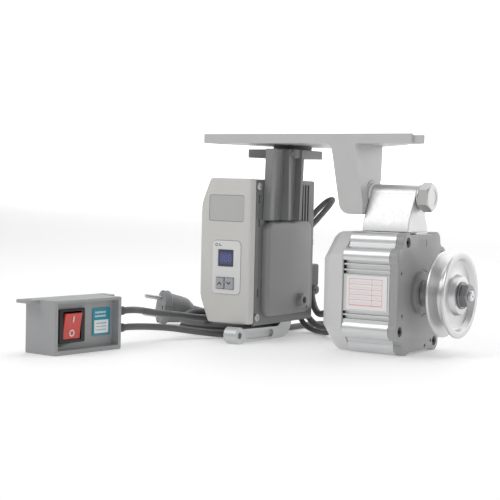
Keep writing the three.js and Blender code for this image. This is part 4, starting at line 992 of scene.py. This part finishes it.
# ------------------------------------------------------------------ control box
def box_outline(d=0.0, drop=0.0):
    """Square with small corners on the pulley side, long shallow chamfers on the other."""
    x0, x1, z0, z1 = BOX.x0 + d, BOX.x1 - d, BOX.z0 + d - drop, BOX.z1 - d
    return polygon([
        (x0 + 10, z0), (x1, z0), (x1, z1), (x0 + 10, z1), (x0 + 1.5, z1 - 21), (x0, z1 - 27), (x0, z0 + 27),
        (x0 + 1.5, z0 + 21),
    ], max(3.2 - d, 0.4), 10)


WINDOW = SimpleNamespace(x0=-206.7, x1=-166.0, z0=61.4, z1=87.2)
PANEL = SimpleNamespace(x0=-201.5, x1=-168.4, z0=-10.0, z1=42.8)
SCREEN = SimpleNamespace(x0=-194.8, x1=-176.7, z0=17.0, z1=34.0)
KEYS = {"up": (-196.0, -186.6), "down": (-185.4, -176.0), "z0": -4.6, "z1": 6.2}


def box_front():
    y0, wall = BOX.y0, BOX.wall
    shell = prism("y", box_outline, y0 + BOX.cover, y0, 3.0)
    cuts = [prism("y", box_outline(wall), y0 + wall, y0 + BOX.cover + 3)]
    cuts.append(prism("y", rounded(WINDOW.x0, WINDOW.x1, WINDOW.z0, WINDOW.z1, 3), y0 - 3, y0 + 1.4))
    cuts.append(prism("y", rounded(PANEL.x0, PANEL.x1, PANEL.z0, PANEL.z1, 5), y0 - 3, y0 + 1))
    for side in ("up", "down"):
        a, b = KEYS[side]
        cuts.append(block(a - 0.4, b + 0.4, y0 - 3, y0 + 6, KEYS["z0"] - 0.4, KEYS["z1"] + 0.4))
    piece = shaped("box_front_cover", [shell], cuts, 0.35)
    put(painted(piece, cover_plastic), "stand", "cover_plastic", "box_cover")
    film = rounded(WINDOW.x0 + 0.3, WINDOW.x1 - 0.3, WINDOW.z0 + 0.3, WINDOW.z1 - 0.3, 2.7)
    piece = shaped("window_plate", [prism("y", film, y0 + 1.1, y0 + 0.4)], (), 0.15)
    put(painted(piece, window_plastic), "stand", "window_film", "info_window")


def panel_marks(y0):
    """A small round mark and a bar above the screen, as generic symbols."""
    marks = [
        turned_y(-196.6, 38.4, 1.5, 0.95, y0), block(-194.2, -190.6, y0 - 0.03, y0 + 0.3, 37.4, 38.1),
        block(-194.2, -192.2, y0 - 0.03, y0 + 0.3, 38.8, 39.4),
    ]
    return marks


def turned_y(x, z, outer, inner, y0):
    """A flat ring standing on a face that looks along -Y."""
    count = 32
    a = np.arange(count) / count * 2 * math.pi
    rows = []
    for radius, y in ((inner, y0 + 0.3), (outer, y0 + 0.3), (outer, y0 - 0.03), (inner, y0 - 0.03)):
        rows.append(np.column_stack([x + radius * np.cos(a), np.full(count, y), z + radius * np.sin(a)]))
    return band(rows)


def chevron(x, z, size, y0, y1, way):
    """A V or an inverted V with strokes of even width."""
    w = size * 0.36
    top = z + way * size * 0.62
    low = z - way * size * 0.5
    points = [
        (x - size, low), (x - size + w * 0.6, low - way * w), (x, top - way * w * 1.9),
        (x + size - w * 0.6, low - way * w), (x + size, low), (x, top),
    ]
    return prism("y", points, y0, y1)


def box_panel():
    y0 = BOX.y0
    front = y0 - 0.8
    sheet = prism("y", rounded(PANEL.x0 + 0.3, PANEL.x1 - 0.3, PANEL.z0 + 0.3, PANEL.z1 - 0.3, 4.7),
                  y0 + 0.7, front, 0.35)
    cuts = [block(SCREEN.x0, SCREEN.x1, y0 - 3, y0 - 0.2, SCREEN.z0, SCREEN.z1)]
    for side in ("up", "down"):
        a, b = KEYS[side]
        cuts.append(block(a - 0.4, b + 0.4, y0 - 4, y0 + 4, KEYS["z0"] - 0.4, KEYS["z1"] + 0.4))
    piece = shaped("panel_plate", [sheet], cuts, 0.12)
    put(painted(piece, panel_plastic), "stand", "panel_plastic", "control_panel")
    for i, mark in enumerate(panel_marks(front)):
        obj = raw_object(mark, f"panel_mark_{i + 1}")
        put(painted(obj, mark_ink), "stand", "component")
    lens = rounded(SCREEN.x0 + 0.3, SCREEN.x1 - 0.3, SCREEN.z0 + 0.3, SCREEN.z1 - 0.3, 0.8)
    piece = shaped("display_lens", [prism("y", lens, y0 - 0.25, y0 - 0.5)], (), 0.08)
    put(painted(piece, display_lens()), "stand", "display_glass", "display")
    for side, way in (("up", 1), ("down", -1)):
        a, b = KEYS[side]
        face = y0 - 2.6
        cap = prism("y", rounded(a, b, KEYS["z0"], KEYS["z1"], 1.8), y0 + 4, face, 0.6)
        key = shaped(f"key_{side}_cap", [cap], (), 0.0)
        put(painted(key, key_plastic), f"key_{side}", "key_rubber", f"key_{side}")
        middle = (KEYS["z0"] + KEYS["z1"]) / 2
        arrow = raw_object(chevron((a + b) / 2, middle, 2.5, face + 0.3, face - 0.04, way), f"key_{side}_arrow")
        put(painted(arrow, mark_ink), f"key_{side}", "component")


def display_lens():
    """A dark violet lens with a lighter pane and three dim seven-bar digits."""
    s = Shader("display lens", (0.012, 0.01, 0.05), 0.12, coat_weight=0.6)
    x, _, z = s.coordinates()
    cx, cz = (SCREEN.x0 + SCREEN.x1) / 2, (SCREEN.z0 + SCREEN.z1) / 2
    pane = pulse(x, cx, 7.4) * pulse(z, cz, 5.8)
    digits = None
    for k in (-1, 0, 1):
        u, v = x - (cx + 4.4 * k), z - cz
        bars = pulse(u, 0, 1.1) * (pulse(v, 3.2, 0.25) + pulse(v, 0, 0.25) + pulse(v, -3.2, 0.25))
        uprights = pulse(u, 1.45, 0.25) + pulse(u, -1.45, 0.25)
        bars = bars + uprights * (pulse(v, 1.6, 1.15) + pulse(v, -1.6, 1.15))
        digits = bars if digits is None else digits + bars
    back = s.blend(pane, (0.014, 0.012, 0.045), (0.04, 0.045, 0.16))
    s.set("Base Color", s.blend((digits * pane).math("MINIMUM", 1.0), back, (0.12, 0.15, 0.42)))
    return s.material


def box_body():
    y1, wall, deep = BOX.y1, BOX.wall, 3.4
    shell = prism("y", lambda d: box_outline(0.5 + d, BOX.drop), BODY0, y1, 1.5)
    room = prism("y", box_outline(6.9), BODY0 - 3, y1 - wall)
    cuts = [room]
    start = BODY0 + 15.4
    for i in range(16):
        y = start + i * 5.6
        if y + 3 < y1 - 3:
            cuts.append(block(BOX.x1 - deep, BOX.x1 + 3, y, y + 3, 61.5, 98.5))
    for i in range(9):
        y = BODY0 + 8 + i * 11.2
        if y + 5.6 < y1 - 6:
            cuts.append(block(BOX.x0 - 3, BOX.x0 + deep, y, y + 5.6, -6, 72))
    # two narrow slots high in the front column, and one at its foot
    for z0, z1 in ((79.5, 88), (56.5, 65), (-12, -4)):
        cuts.append(prism("x", rounded(-36.6, -33.8, z0, z1, 1.2), BOX.x1 - 2.2, BOX.x1 + 3))
    lever_slot = block(*LEVER_ROOM, LEVER.y - 24, LEVER.y + 25.5,
                       BOX.z0 - 7, BOX.z0 + 9)
    groove = block(*LEVER_ROOM, BODY0 - 1, LEVER.y - 23, BOX.z0 - 7, BOX.z0 - 0.6)
    cuts += [lever_slot, groove]
    piece = shaped("box_body_casting", [shell], cuts, 0.4)
    put(painted(piece, body_enamel), "stand", "body_paint", "box_body")
    outer = prism("y", box_outline(1.0), BODY0 - 1.3, BODY0 - 0.3)
    seal = shaped("gasket_ring", [outer], [prism("y", box_outline(3.4), BODY0 - 4, BODY0 + 3)], 0.2)
    put(painted(seal, gasket_rubber), "stand", "gasket_rubber", "box_gasket")
    for where, z in (("top", 96), ("bottom", -32)):
        screw = shaped(f"column_screw_{where}", [
            bar("x", -38.3, z, 3.8, BOX.x1 - 0.2, BOX.x1 + 2, 40, 0.9),
            bar("x", -38.3, z, 1.8, BOX.x1 - 6, BOX.x1, 20),
        ], [
            block(BOX.x1 + 1.1, BOX.x1 + 4, -38.3 - 2.2, -38.3 + 2.2, z - 0.45, z + 0.45),
            block(BOX.x1 + 1.1, BOX.x1 + 4, -38.3 - 0.45, -38.3 + 0.45, z - 2.2, z + 2.2),
        ], 0.1)
        put(painted(screw, screw_metal), "stand", "zinc", f"side_screw_{where}")


BOSS = SimpleNamespace(y=34.5, z=-18.2, radius=6.5, out=5.4, hole=3.6)


def side_cover():
    low, out = BOX.x1 - 0.2, BOX.x1 + 7
    pad = prism("x", lambda d: rounded(-29 + d, 57 - d, -32 + d, 62 - d, 10 - d, 7), low, out, 4.0)
    hollow = prism("x", rounded(-26, 54, -29, 59, 7), low - 3, out - 2.5)
    boss = bar("x", BOSS.y, BOSS.z, BOSS.radius, out - 2.5, out + BOSS.out, 64, 0.8)
    pit = bar("x", BOSS.y, BOSS.z, BOSS.hole, out + 1, out + 8, 40)
    notch = prism("x", rounded(44, 50, -27.6, -24.4, 1.2), out - 0.8, out + 3)
    piece = shaped("side_cover_shell", [pad, boss], [hollow, pit, notch], 0.3)
    put(painted(piece, pad_enamel), "stand", "body_paint", "side_cover")


DISC = SimpleNamespace(x=-178, y=58, radius=20)


def box_arm():
    x0 = BOX.x1 + 0.1
    x1, low, shelf = x0 + 4, 63.2, PLATE_LOW - 13
    top = PLATE_LOW - 0.3
    shelf_top = shelf + 8.5

    def leaning(y0, y1, low_out, top_out, drift):
        """A rib on the wall, which stands out less and drifts to the rear as it rises."""
        def corners(out, on):
            return [(x1 - 0.5, y0 + on), (x1 + out, y0 + on), (x1 + out, y1 + on), (x1 - 0.5, y1 + on)]

        return skin([section("z", corners(low_out, 0), low), section("z", corners(top_out, drift), shelf_top - 0.5)])

    side = [(-30, low), (28.5, low), (31.5, shelf_top - 0.5), (-27, shelf_top - 0.5)]
    parts = [
        prism("x", side, x0, x1), leaning(-30, -23, 4.4, 4.4, 3), leaning(-3.3, 0.9, 9.5, 4.9, 6),
        leaning(23.8, 28.5, 5.9, 5.9, 2.9),
        prism("z", rounded(-206, x1 + 4, 11.5, 77, 7), shelf, shelf_top),
        bar("z", DISC.x, DISC.y, DISC.radius, shelf_top - 1, top, 72),
        prism("z", hexagon(x1 + 4.5, 8, 9), shelf_top - 6, shelf_top - 3),
    ]
    piece = shaped("arm_casting", parts, [bar("z", DISC.x, DISC.y, 4.4, shelf - 3, top + 3)], 0.8, 3)
    put(painted(piece, arm_metal), "stand", "arm_paint", "box_arm")
    bolt = shaped("arm_fixing_bolt", [
        nut_prism("z", DISC.x, DISC.y, 13, shelf - 0.3, shelf - 5.6), bar("z", DISC.x, DISC.y, 4, shelf - 1, top),
    ], (), 0.3)
    put(painted(bolt, screw_metal), "stand", "zinc", "arm_bolt")


def treadle_lever():
    low = FLOOR + 0.3
    y, z, by, bz = LEVER.y, LEVER.z, LEVER.boss_y, LEVER.boss_z
    outline = np.vstack([
        [(by, bz - 6), (y - 26, low), (y - 2.5, low)],
        arc(y - 2.5, low + 18, 18, -90, -4, 6),
        arc(y, z, LEVER.hub, 0, 180, 6),
        arc(y - 14, low + 22, 10, 0, -90, 8),
        [(by, bz + 6)],
    ])
    x0, x1 = LEVER.x0, LEVER.x1
    arm = prism("x", outline, x0, x1)
    boss = bar("x", by, bz, LEVER.boss, x0 - 3, x1 + 0.8, 64)
    cuts = [bar("x", by, bz, 3.2, x0 - 6, x1 + 4, 32), bar("x", y, z, 4.4, x0 - 3, x1 + 3, 32)]
    pocket = polygon([(by + 14, low + 3.4), (y - 22, low + 2.4), (y - 19, low + 6), (y - 22, low + 9.8),
                      (by + 14, low + 9.6), (by + 11.5, low + 6.4)], 2.5)
    cuts.append(prism("x", pocket, x1 - 2.5, x1 + 3))
    piece = shaped("lever_casting", [arm, boss], cuts, 0.9, 3)
    put(painted(piece, lever_metal), "lever", "cast_aluminium", "treadle_lever")


def rear_connectors():
    y1 = BOX.y1
    body = prism("y", rounded(-189, -164.5, -8, 15.5, 2.5), y1 + 0.3, y1 + 23, 0.8)
    parts = [body]
    for x in (-176, -184.5, -167.5):
        parts.append(bar("z", x, y1 + 13.6, 4.1, -7, -12, 32, 0.5))
    knob = bar("y", -171, -12.3, 5.8, y1 + 19, y1 + 27, 40, 1.2)
    piece = shaped("connector_shell", [*parts, knob], (), 0.4)
    put(painted(piece, dark_plastic), "stand", "black_plastic", "connector_block")
    cx, cy = -168, y1 + 6.4
    clip = shaped("clip_band", [
        bar("z", cx, cy, 5, 36, 42, 40), block(cx - 3, cx + 3, y1 + 0.3, cy - 3.6, 36, 42),
        block(cx - 3, cx + 3, y1 + 0.3, y1 + 1.8, 36, 51), bar("y", cx, 47, 2.7, y1 + 1, y1 + 3, 32, 0.6),
    ], [bar("z", cx, cy, 3.6, 33, 45, 40)], 0.25)
    put(painted(clip, screw_metal), "stand", "zinc", "cable_clip")
    path = smooth_route([
        (-176, y1 + 1, 57), (-176, cy + 1, 58), (-173.2, cy + 9, 63), (-168, cy + 19, 74), (-161, cy + 26, 82.5),
        (-154, cy + 24, 84), (-153.5, cy + 15, 77), (-160, cy + 6, 65), (-168, cy, 52), (-168, cy, 38),
        (-168.4, cy + 1.2, 28), (-169, cy + 3, 22), (-169, cy + 3.4, 16.1),
    ], 1.2)
    loop = tube("link_cable", path, LEAD["link"])
    put(painted(loop, loop_sheath), "stand", "lead_rubber", "link_lead")


loop_sheath = sheath("loop sheath", 0.16)
box_front()
box_panel()
box_body()
side_cover()
box_arm()
treadle_lever()
rear_connectors()


# ------------------------------------------------------------------ switch box
def standing(shape):
    """A shape drawn in the switch box's own frame, put where the switch box stands."""
    verts, faces = shape
    return from_switch(verts), faces


BEZEL = SimpleNamespace(x0=10.2, x1=41.9, z0=9.9, z1=40.0)
WELL = SimpleNamespace(x0=15.0, x1=37.0, z0=12.4, z1=37.6)


def switch_box():
    w, d, h, wall, recess = SW.wide, SW.deep, SW.high, SW.wall, SW.recess
    parts = [prism("z", rounded(0, w, 0, d, 2.4), 0, h, 1.2, True)]
    for x0, x1 in ((-13, 4), (w - 4, w + 13)):
        parts.append(prism("z", rounded(x0, x1, d - 19, d - 0.5, 4), h - 3, h, 0.6, True))
    cuts = [prism("y", rounded(3, w - 5, 4, h - 2.6, 1.2), -3, recess)]
    cuts.append(block(wall, w - wall, recess + wall, d - wall, wall, h - wall))
    cuts.append(block(BEZEL.x0 + 2, BEZEL.x1 - 2, recess - 3, recess + wall + 3, BEZEL.z0 + 1.5,
                      BEZEL.z1 - 1.5))
    for x in (-6, w + 6):
        cuts.append(bar("z", x, d - 9.8, 2.3, h - 6, h + 3, 32))
        cuts.append(standing_cone(x, d - 9.8, h))
    piece = shaped("switch_shell", [standing(p) for p in parts], [standing(c) for c in cuts], 0.5)
    put(painted(piece, switch_plastic), "stand", "switch_plastic", "switch_box")


def standing_cone(x, y, top):
    """The countersink of an ear's screw hole."""
    return skin([section("z", ring(x, y, 2.3, 32), top - 1.6), section("z", ring(x, y, 4.6, 32), top + 0.7)])


def switch_parts():
    recess = SW.recess
    rim = prism("y", rounded(BEZEL.x0, BEZEL.x1, BEZEL.z0, BEZEL.z1, 1.2), recess - 0.3, recess - 2.6, 0.8)
    barrel = block(BEZEL.x0 + 2.4, BEZEL.x1 - 2.4, recess - 1, recess + 16, BEZEL.z0 + 2, BEZEL.z1 - 2)
    well = block(WELL.x0, WELL.x1, recess - 5, recess + 11, WELL.z0, WELL.z1)
    piece = shaped("rocker_bezel", [standing(rim), standing(barrel)], [standing(well)], 0.3)
    put(painted(piece, black_plastic), "stand", "black_plastic", "switch_bezel")
    py, pz, tip = recess + 0.4, (WELL.z0 + WELL.z1) / 2, math.radians(8)
    level = [(8, -5), (-1.6, -11.8), (-3.7, -11.8)]
    level += [(-3.0 - 0.7 * (z / 11.8) ** 2, z) for z in np.linspace(-10.5, 10.5, 15)]
    level += [(-3.7, 11.8), (-1.6, 11.8), (8, 5)]

    def tilted(points):
        return [(py + u * math.cos(tip) - v * math.sin(tip), pz + u * math.sin(tip) + v * math.cos(tip))
                for u, v in points]

    rocker = shaped("rocker_key", [standing(prism("x", tilted(level), WELL.x0 + 0.6, WELL.x1 - 0.6))], (), 0.5, 3)
    put(painted(rocker, red_plastic), "rocker", "rocker_red", "rocker")
    # a bar on the upper half and a ring on the lower half
    middle = (WELL.x0 + WELL.x1) / 2
    stroke = prism("x", tilted([(-3.3, 3.5), (-3.62, 9), (-3.9, 9), (-3.5, 3.5)]), middle - 0.6, middle + 0.6)
    on_mark = raw_object(standing(stroke), "rocker_mark_on")
    count = 36
    a = np.arange(count) / count * 2 * math.pi
    rows = []
    for radius, lift in ((2.1, 0.25), (3.1, 0.25), (3.1, -0.14), (2.1, -0.14)):
        z = -6.4 + radius * np.sin(a)
        y = -3.0 - 0.7 * (z / 11.8) ** 2 + lift
        spots = np.array(tilted(list(zip(y, z))))
        rows.append(np.column_stack([middle + radius * np.cos(a), spots[:, 0], spots[:, 1]]))
    off_mark = raw_object(standing(band(rows)), "rocker_mark_off")
    for mark in (on_mark, off_mark):
        smoothed(mark)
        put(painted(mark, white_ink), "rocker", "panel_plastic")
    film = prism("y", rounded(53.1, 75.8, 13.6, 38.5, 1.0), recess - 0.3, recess - 0.8)
    label = shaped("switch_film", [standing(film)], (), 0.08)
    put(painted(label, switch_film()), "stand", "switch_film", "switch_label")


def switch_film():
    """Teal film: a white panel with teal and grey bars, and two pale bars above it."""
    s = Shader("switch film", (0.015, 0.27, 0.36), 0.35, coat_weight=0.3)
    x, y, z = s.coordinates()
    a = math.radians(SW.yaw)
    u = (x - SW.x) * math.cos(a) + (y - SW.y) * math.sin(a)
    v = z - FLOOR
    white = u.between(55.4, 73.6) * v.between(15.6, 27.6)
    bars = (u * 0.55).math("FRACT").between(0.12, 0.85)
    inside = (pulse(v, 24.6, 0.7) + pulse(v, 21.6, 0.5) + pulse(v, 18.6, 0.5)) * u.between(57.5, 71) * bars
    above = (pulse(v, 34.6, 0.9) + pulse(v, 31.2, 0.9)) * u.between(56, 70) * bars
    base = s.blend(white, (0.015, 0.27, 0.36), (0.82, 0.84, 0.84))
    base = s.blend(above.math("MINIMUM", 1.0) * 0.85, base, (0.75, 0.85, 0.88))
    s.set("Base Color", s.blend(inside.math("MINIMUM", 1.0) * white * 0.75, base, (0.03, 0.3, 0.4)))
    return s.material


def reliefs():
    """Tapered strain reliefs with rings of slots, where the two leads leave the switch box."""
    w = SW.wide
    for name, z in (("mains_relief", 32.6), ("box_lead_relief", 16.5)):
        profile = [(w - 3, 0.02), (w - 3, 4.2), (w + GAP, 4.2), (w + GAP, 5.6), (w + 4, 5.6)]
        steps = 6
        for i in range(steps):
            start = w + 4.6 + i * 2.7
            radius = 5.0 - i * 0.16
            profile += [(start, radius), (start + 1.6, radius - 0.1), (start + 1.75, radius - 0.8),
                        (start + 2.55, radius - 0.8)]
        profile += [(w + RELIEF - 0.6, 4.15), (w + RELIEF, 3.75), (w + RELIEF, 0.02)]
        verts, faces = spun(profile, 40)
        verts[:, 1] += SW.deep / 2
        verts[:, 2] += z
        piece = raw_object((from_switch(verts), faces), name + "_sleeve")
        smoothed(piece)
        put(painted(piece, lead_material), "stand", "lead_rubber", name)


def mains_plug():
    """An earthed round plug: two pins, notches at its sides, an earth hole, and a ribbed tail."""
    disc, long, tail = PLUG.disc, PLUG.long, PLUG.relief
    turn = Matrix.Rotation(math.radians(PLUG.heading), 3, "Z") @ Matrix.Rotation(math.radians(PLUG.tilt), 3, "Y")

    def lying(shape):
        verts, faces = shape
        return np.asarray(verts) @ np.array(turn).T + (PLUG.x, PLUG.y, PLUG.z), faces

    profile = [(0, 0.02), (0, disc - 1.2), (0.4, disc - 0.3), (1.2, disc), (7.2, disc), (8, disc - 0.6),
               (9.6, disc - 2.4), (14, 15.6), (22, 14.6), (28, 13.5), (31, 12), (34, 9.6), (36, 8.2)]
    steps = 6
    for i in range(steps):
        start, radius = long + 0.6 + i * 3.3, 6.6 - i * 0.42
        profile += [(start, radius), (start + 2.0, radius - 0.15), (start + 2.2, radius - 1.0),
                    (start + 3.1, radius - 1.0)]
    profile += [(long + tail - 1, 4.2), (long + tail, 3.7), (long + tail, 0.02)]
    body = spun(profile, 80)
    cuts = [bar("x", 0, z, 5.2, -4, 5.5, 24) for z in (-disc - 1.6, disc + 1.6)]
    cuts += [block(-2, 12, -disc - 3, -disc + 1.6, -3.2, 3.2), block(-2, 12, disc - 1.6, disc + 3, -3.2, 3.2)]
    cuts.append(bar("x", -9.3, 0, 2.6, -3, 7, 24))
    piece = shaped("plug_body", [lying(body)], [lying(c) for c in cuts], 0.3)
    put(painted(piece, plug_plastic), "stand", "plug_plastic", "mains_plug")
    pins = []
    for side, z in (("a", -9.5), ("b", 9.5)):
        pin = spun([(0.5, 0.02), (0.5, 2.4), (-17, 2.4), (-18.4, 1.9), (-19, 0.9), (-19, 0.02)], 32)
        verts, faces = pin
        verts[:, 2] += z
        obj = raw_object(lying((verts, faces)), f"plug_pin_{side}")
        smoothed(obj)
        put(painted(obj, screw_metal), "stand", "steel")
        pins.append(obj)
    return [piece, *pins]


switch_box()
switch_parts()
reliefs()
plug_pieces = mains_plug()
declare_leads(plug_pieces)

# ------------------------------------------------------------------ pieces inside, kept as the CAD has them
INSIDE = {
    "core_steel": drawn_metal("core steel", (0.3, 0.31, 0.33), 0.4, (1, 1, 1)),
    "magnet": drawn_metal("magnet coating", (0.2, 0.21, 0.22), 0.35, (1, 1, 1)),
    "copper": drawn_metal("enamelled copper", (0.6, 0.25, 0.09), 0.35, (1, 1, 1)),
    "board": textured_plastic("board", (0.015, 0.09, 0.035), 0.45),
    "component": dark_plastic,
    "steel": screw_metal,
}
SLOT_OF = {s["node"]: s["material_slot"] for s in frame["record"]["subparts"]}
for node, obj in frame["nodes"].items():
    material = INSIDE.get(SLOT_OF.get(node))
    if material:
        obj.data.materials.clear()
        obj.data.materials.append(material)


# ------------------------------------------------------------------ floor and light
def studio():
    """A pale floor and a white backdrop, a key light at the left front, a light above and one at the right."""
    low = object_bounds()[0][2]
    size = 6.0
    faces = {
        "floor": [(-size, -size, low), (size, -size, low), (size, size, low), (-size, size, low)],
        "backdrop": [(-size, size, low), (size, size, low), (size, size, 2 * size), (-size, size, 2 * size)],
    }
    for name, corners in faces.items():
        mesh = bpy.data.meshes.new(name)
        mesh.from_pydata(corners, [], [(0, 1, 2, 3)])
        obj = bpy.data.objects.new(name, mesh)
        bpy.context.scene.collection.objects.link(obj)
        s = Shader(name, (0.9, 0.9, 0.9), 0.7)
        s.set("Emission Color", (1, 1, 1))
        s.set("Emission Strength", 0.22 if name == "floor" else 1.0)
        obj.data.materials.append(s.material)
    world = bpy.data.worlds.new("surround")
    world.use_nodes = True
    world.node_tree.nodes["Background"].inputs[0].default_value = (1, 1, 1, 1)
    world.node_tree.nodes["Background"].inputs[1].default_value = 0.4
    bpy.context.scene.world = world
    target = Vector(placed((-110, -30, 30)))
    for name, spot, size_m, power in (
        ("key light", (-0.9, -1.3, 1.5), 1.2, 11.0),
        ("right strip", (1.6, -0.5, 0.7), 0.7, 1.6),
        ("top light", (0.1, 0.3, 1.9), 1.4, 7.0),
    ):
        data = bpy.data.lights.new(name, "AREA")
        data.energy, data.size, data.shape = power, size_m, "SQUARE"
        obj = bpy.data.objects.new(name, data)
        obj.location = Vector(spot)
        obj.rotation_euler = (target - obj.location).to_track_quat("-Z", "Y").to_euler()
        bpy.context.scene.collection.objects.link(obj)
    bpy.context.scene.view_settings.view_transform = "Standard"


studio()
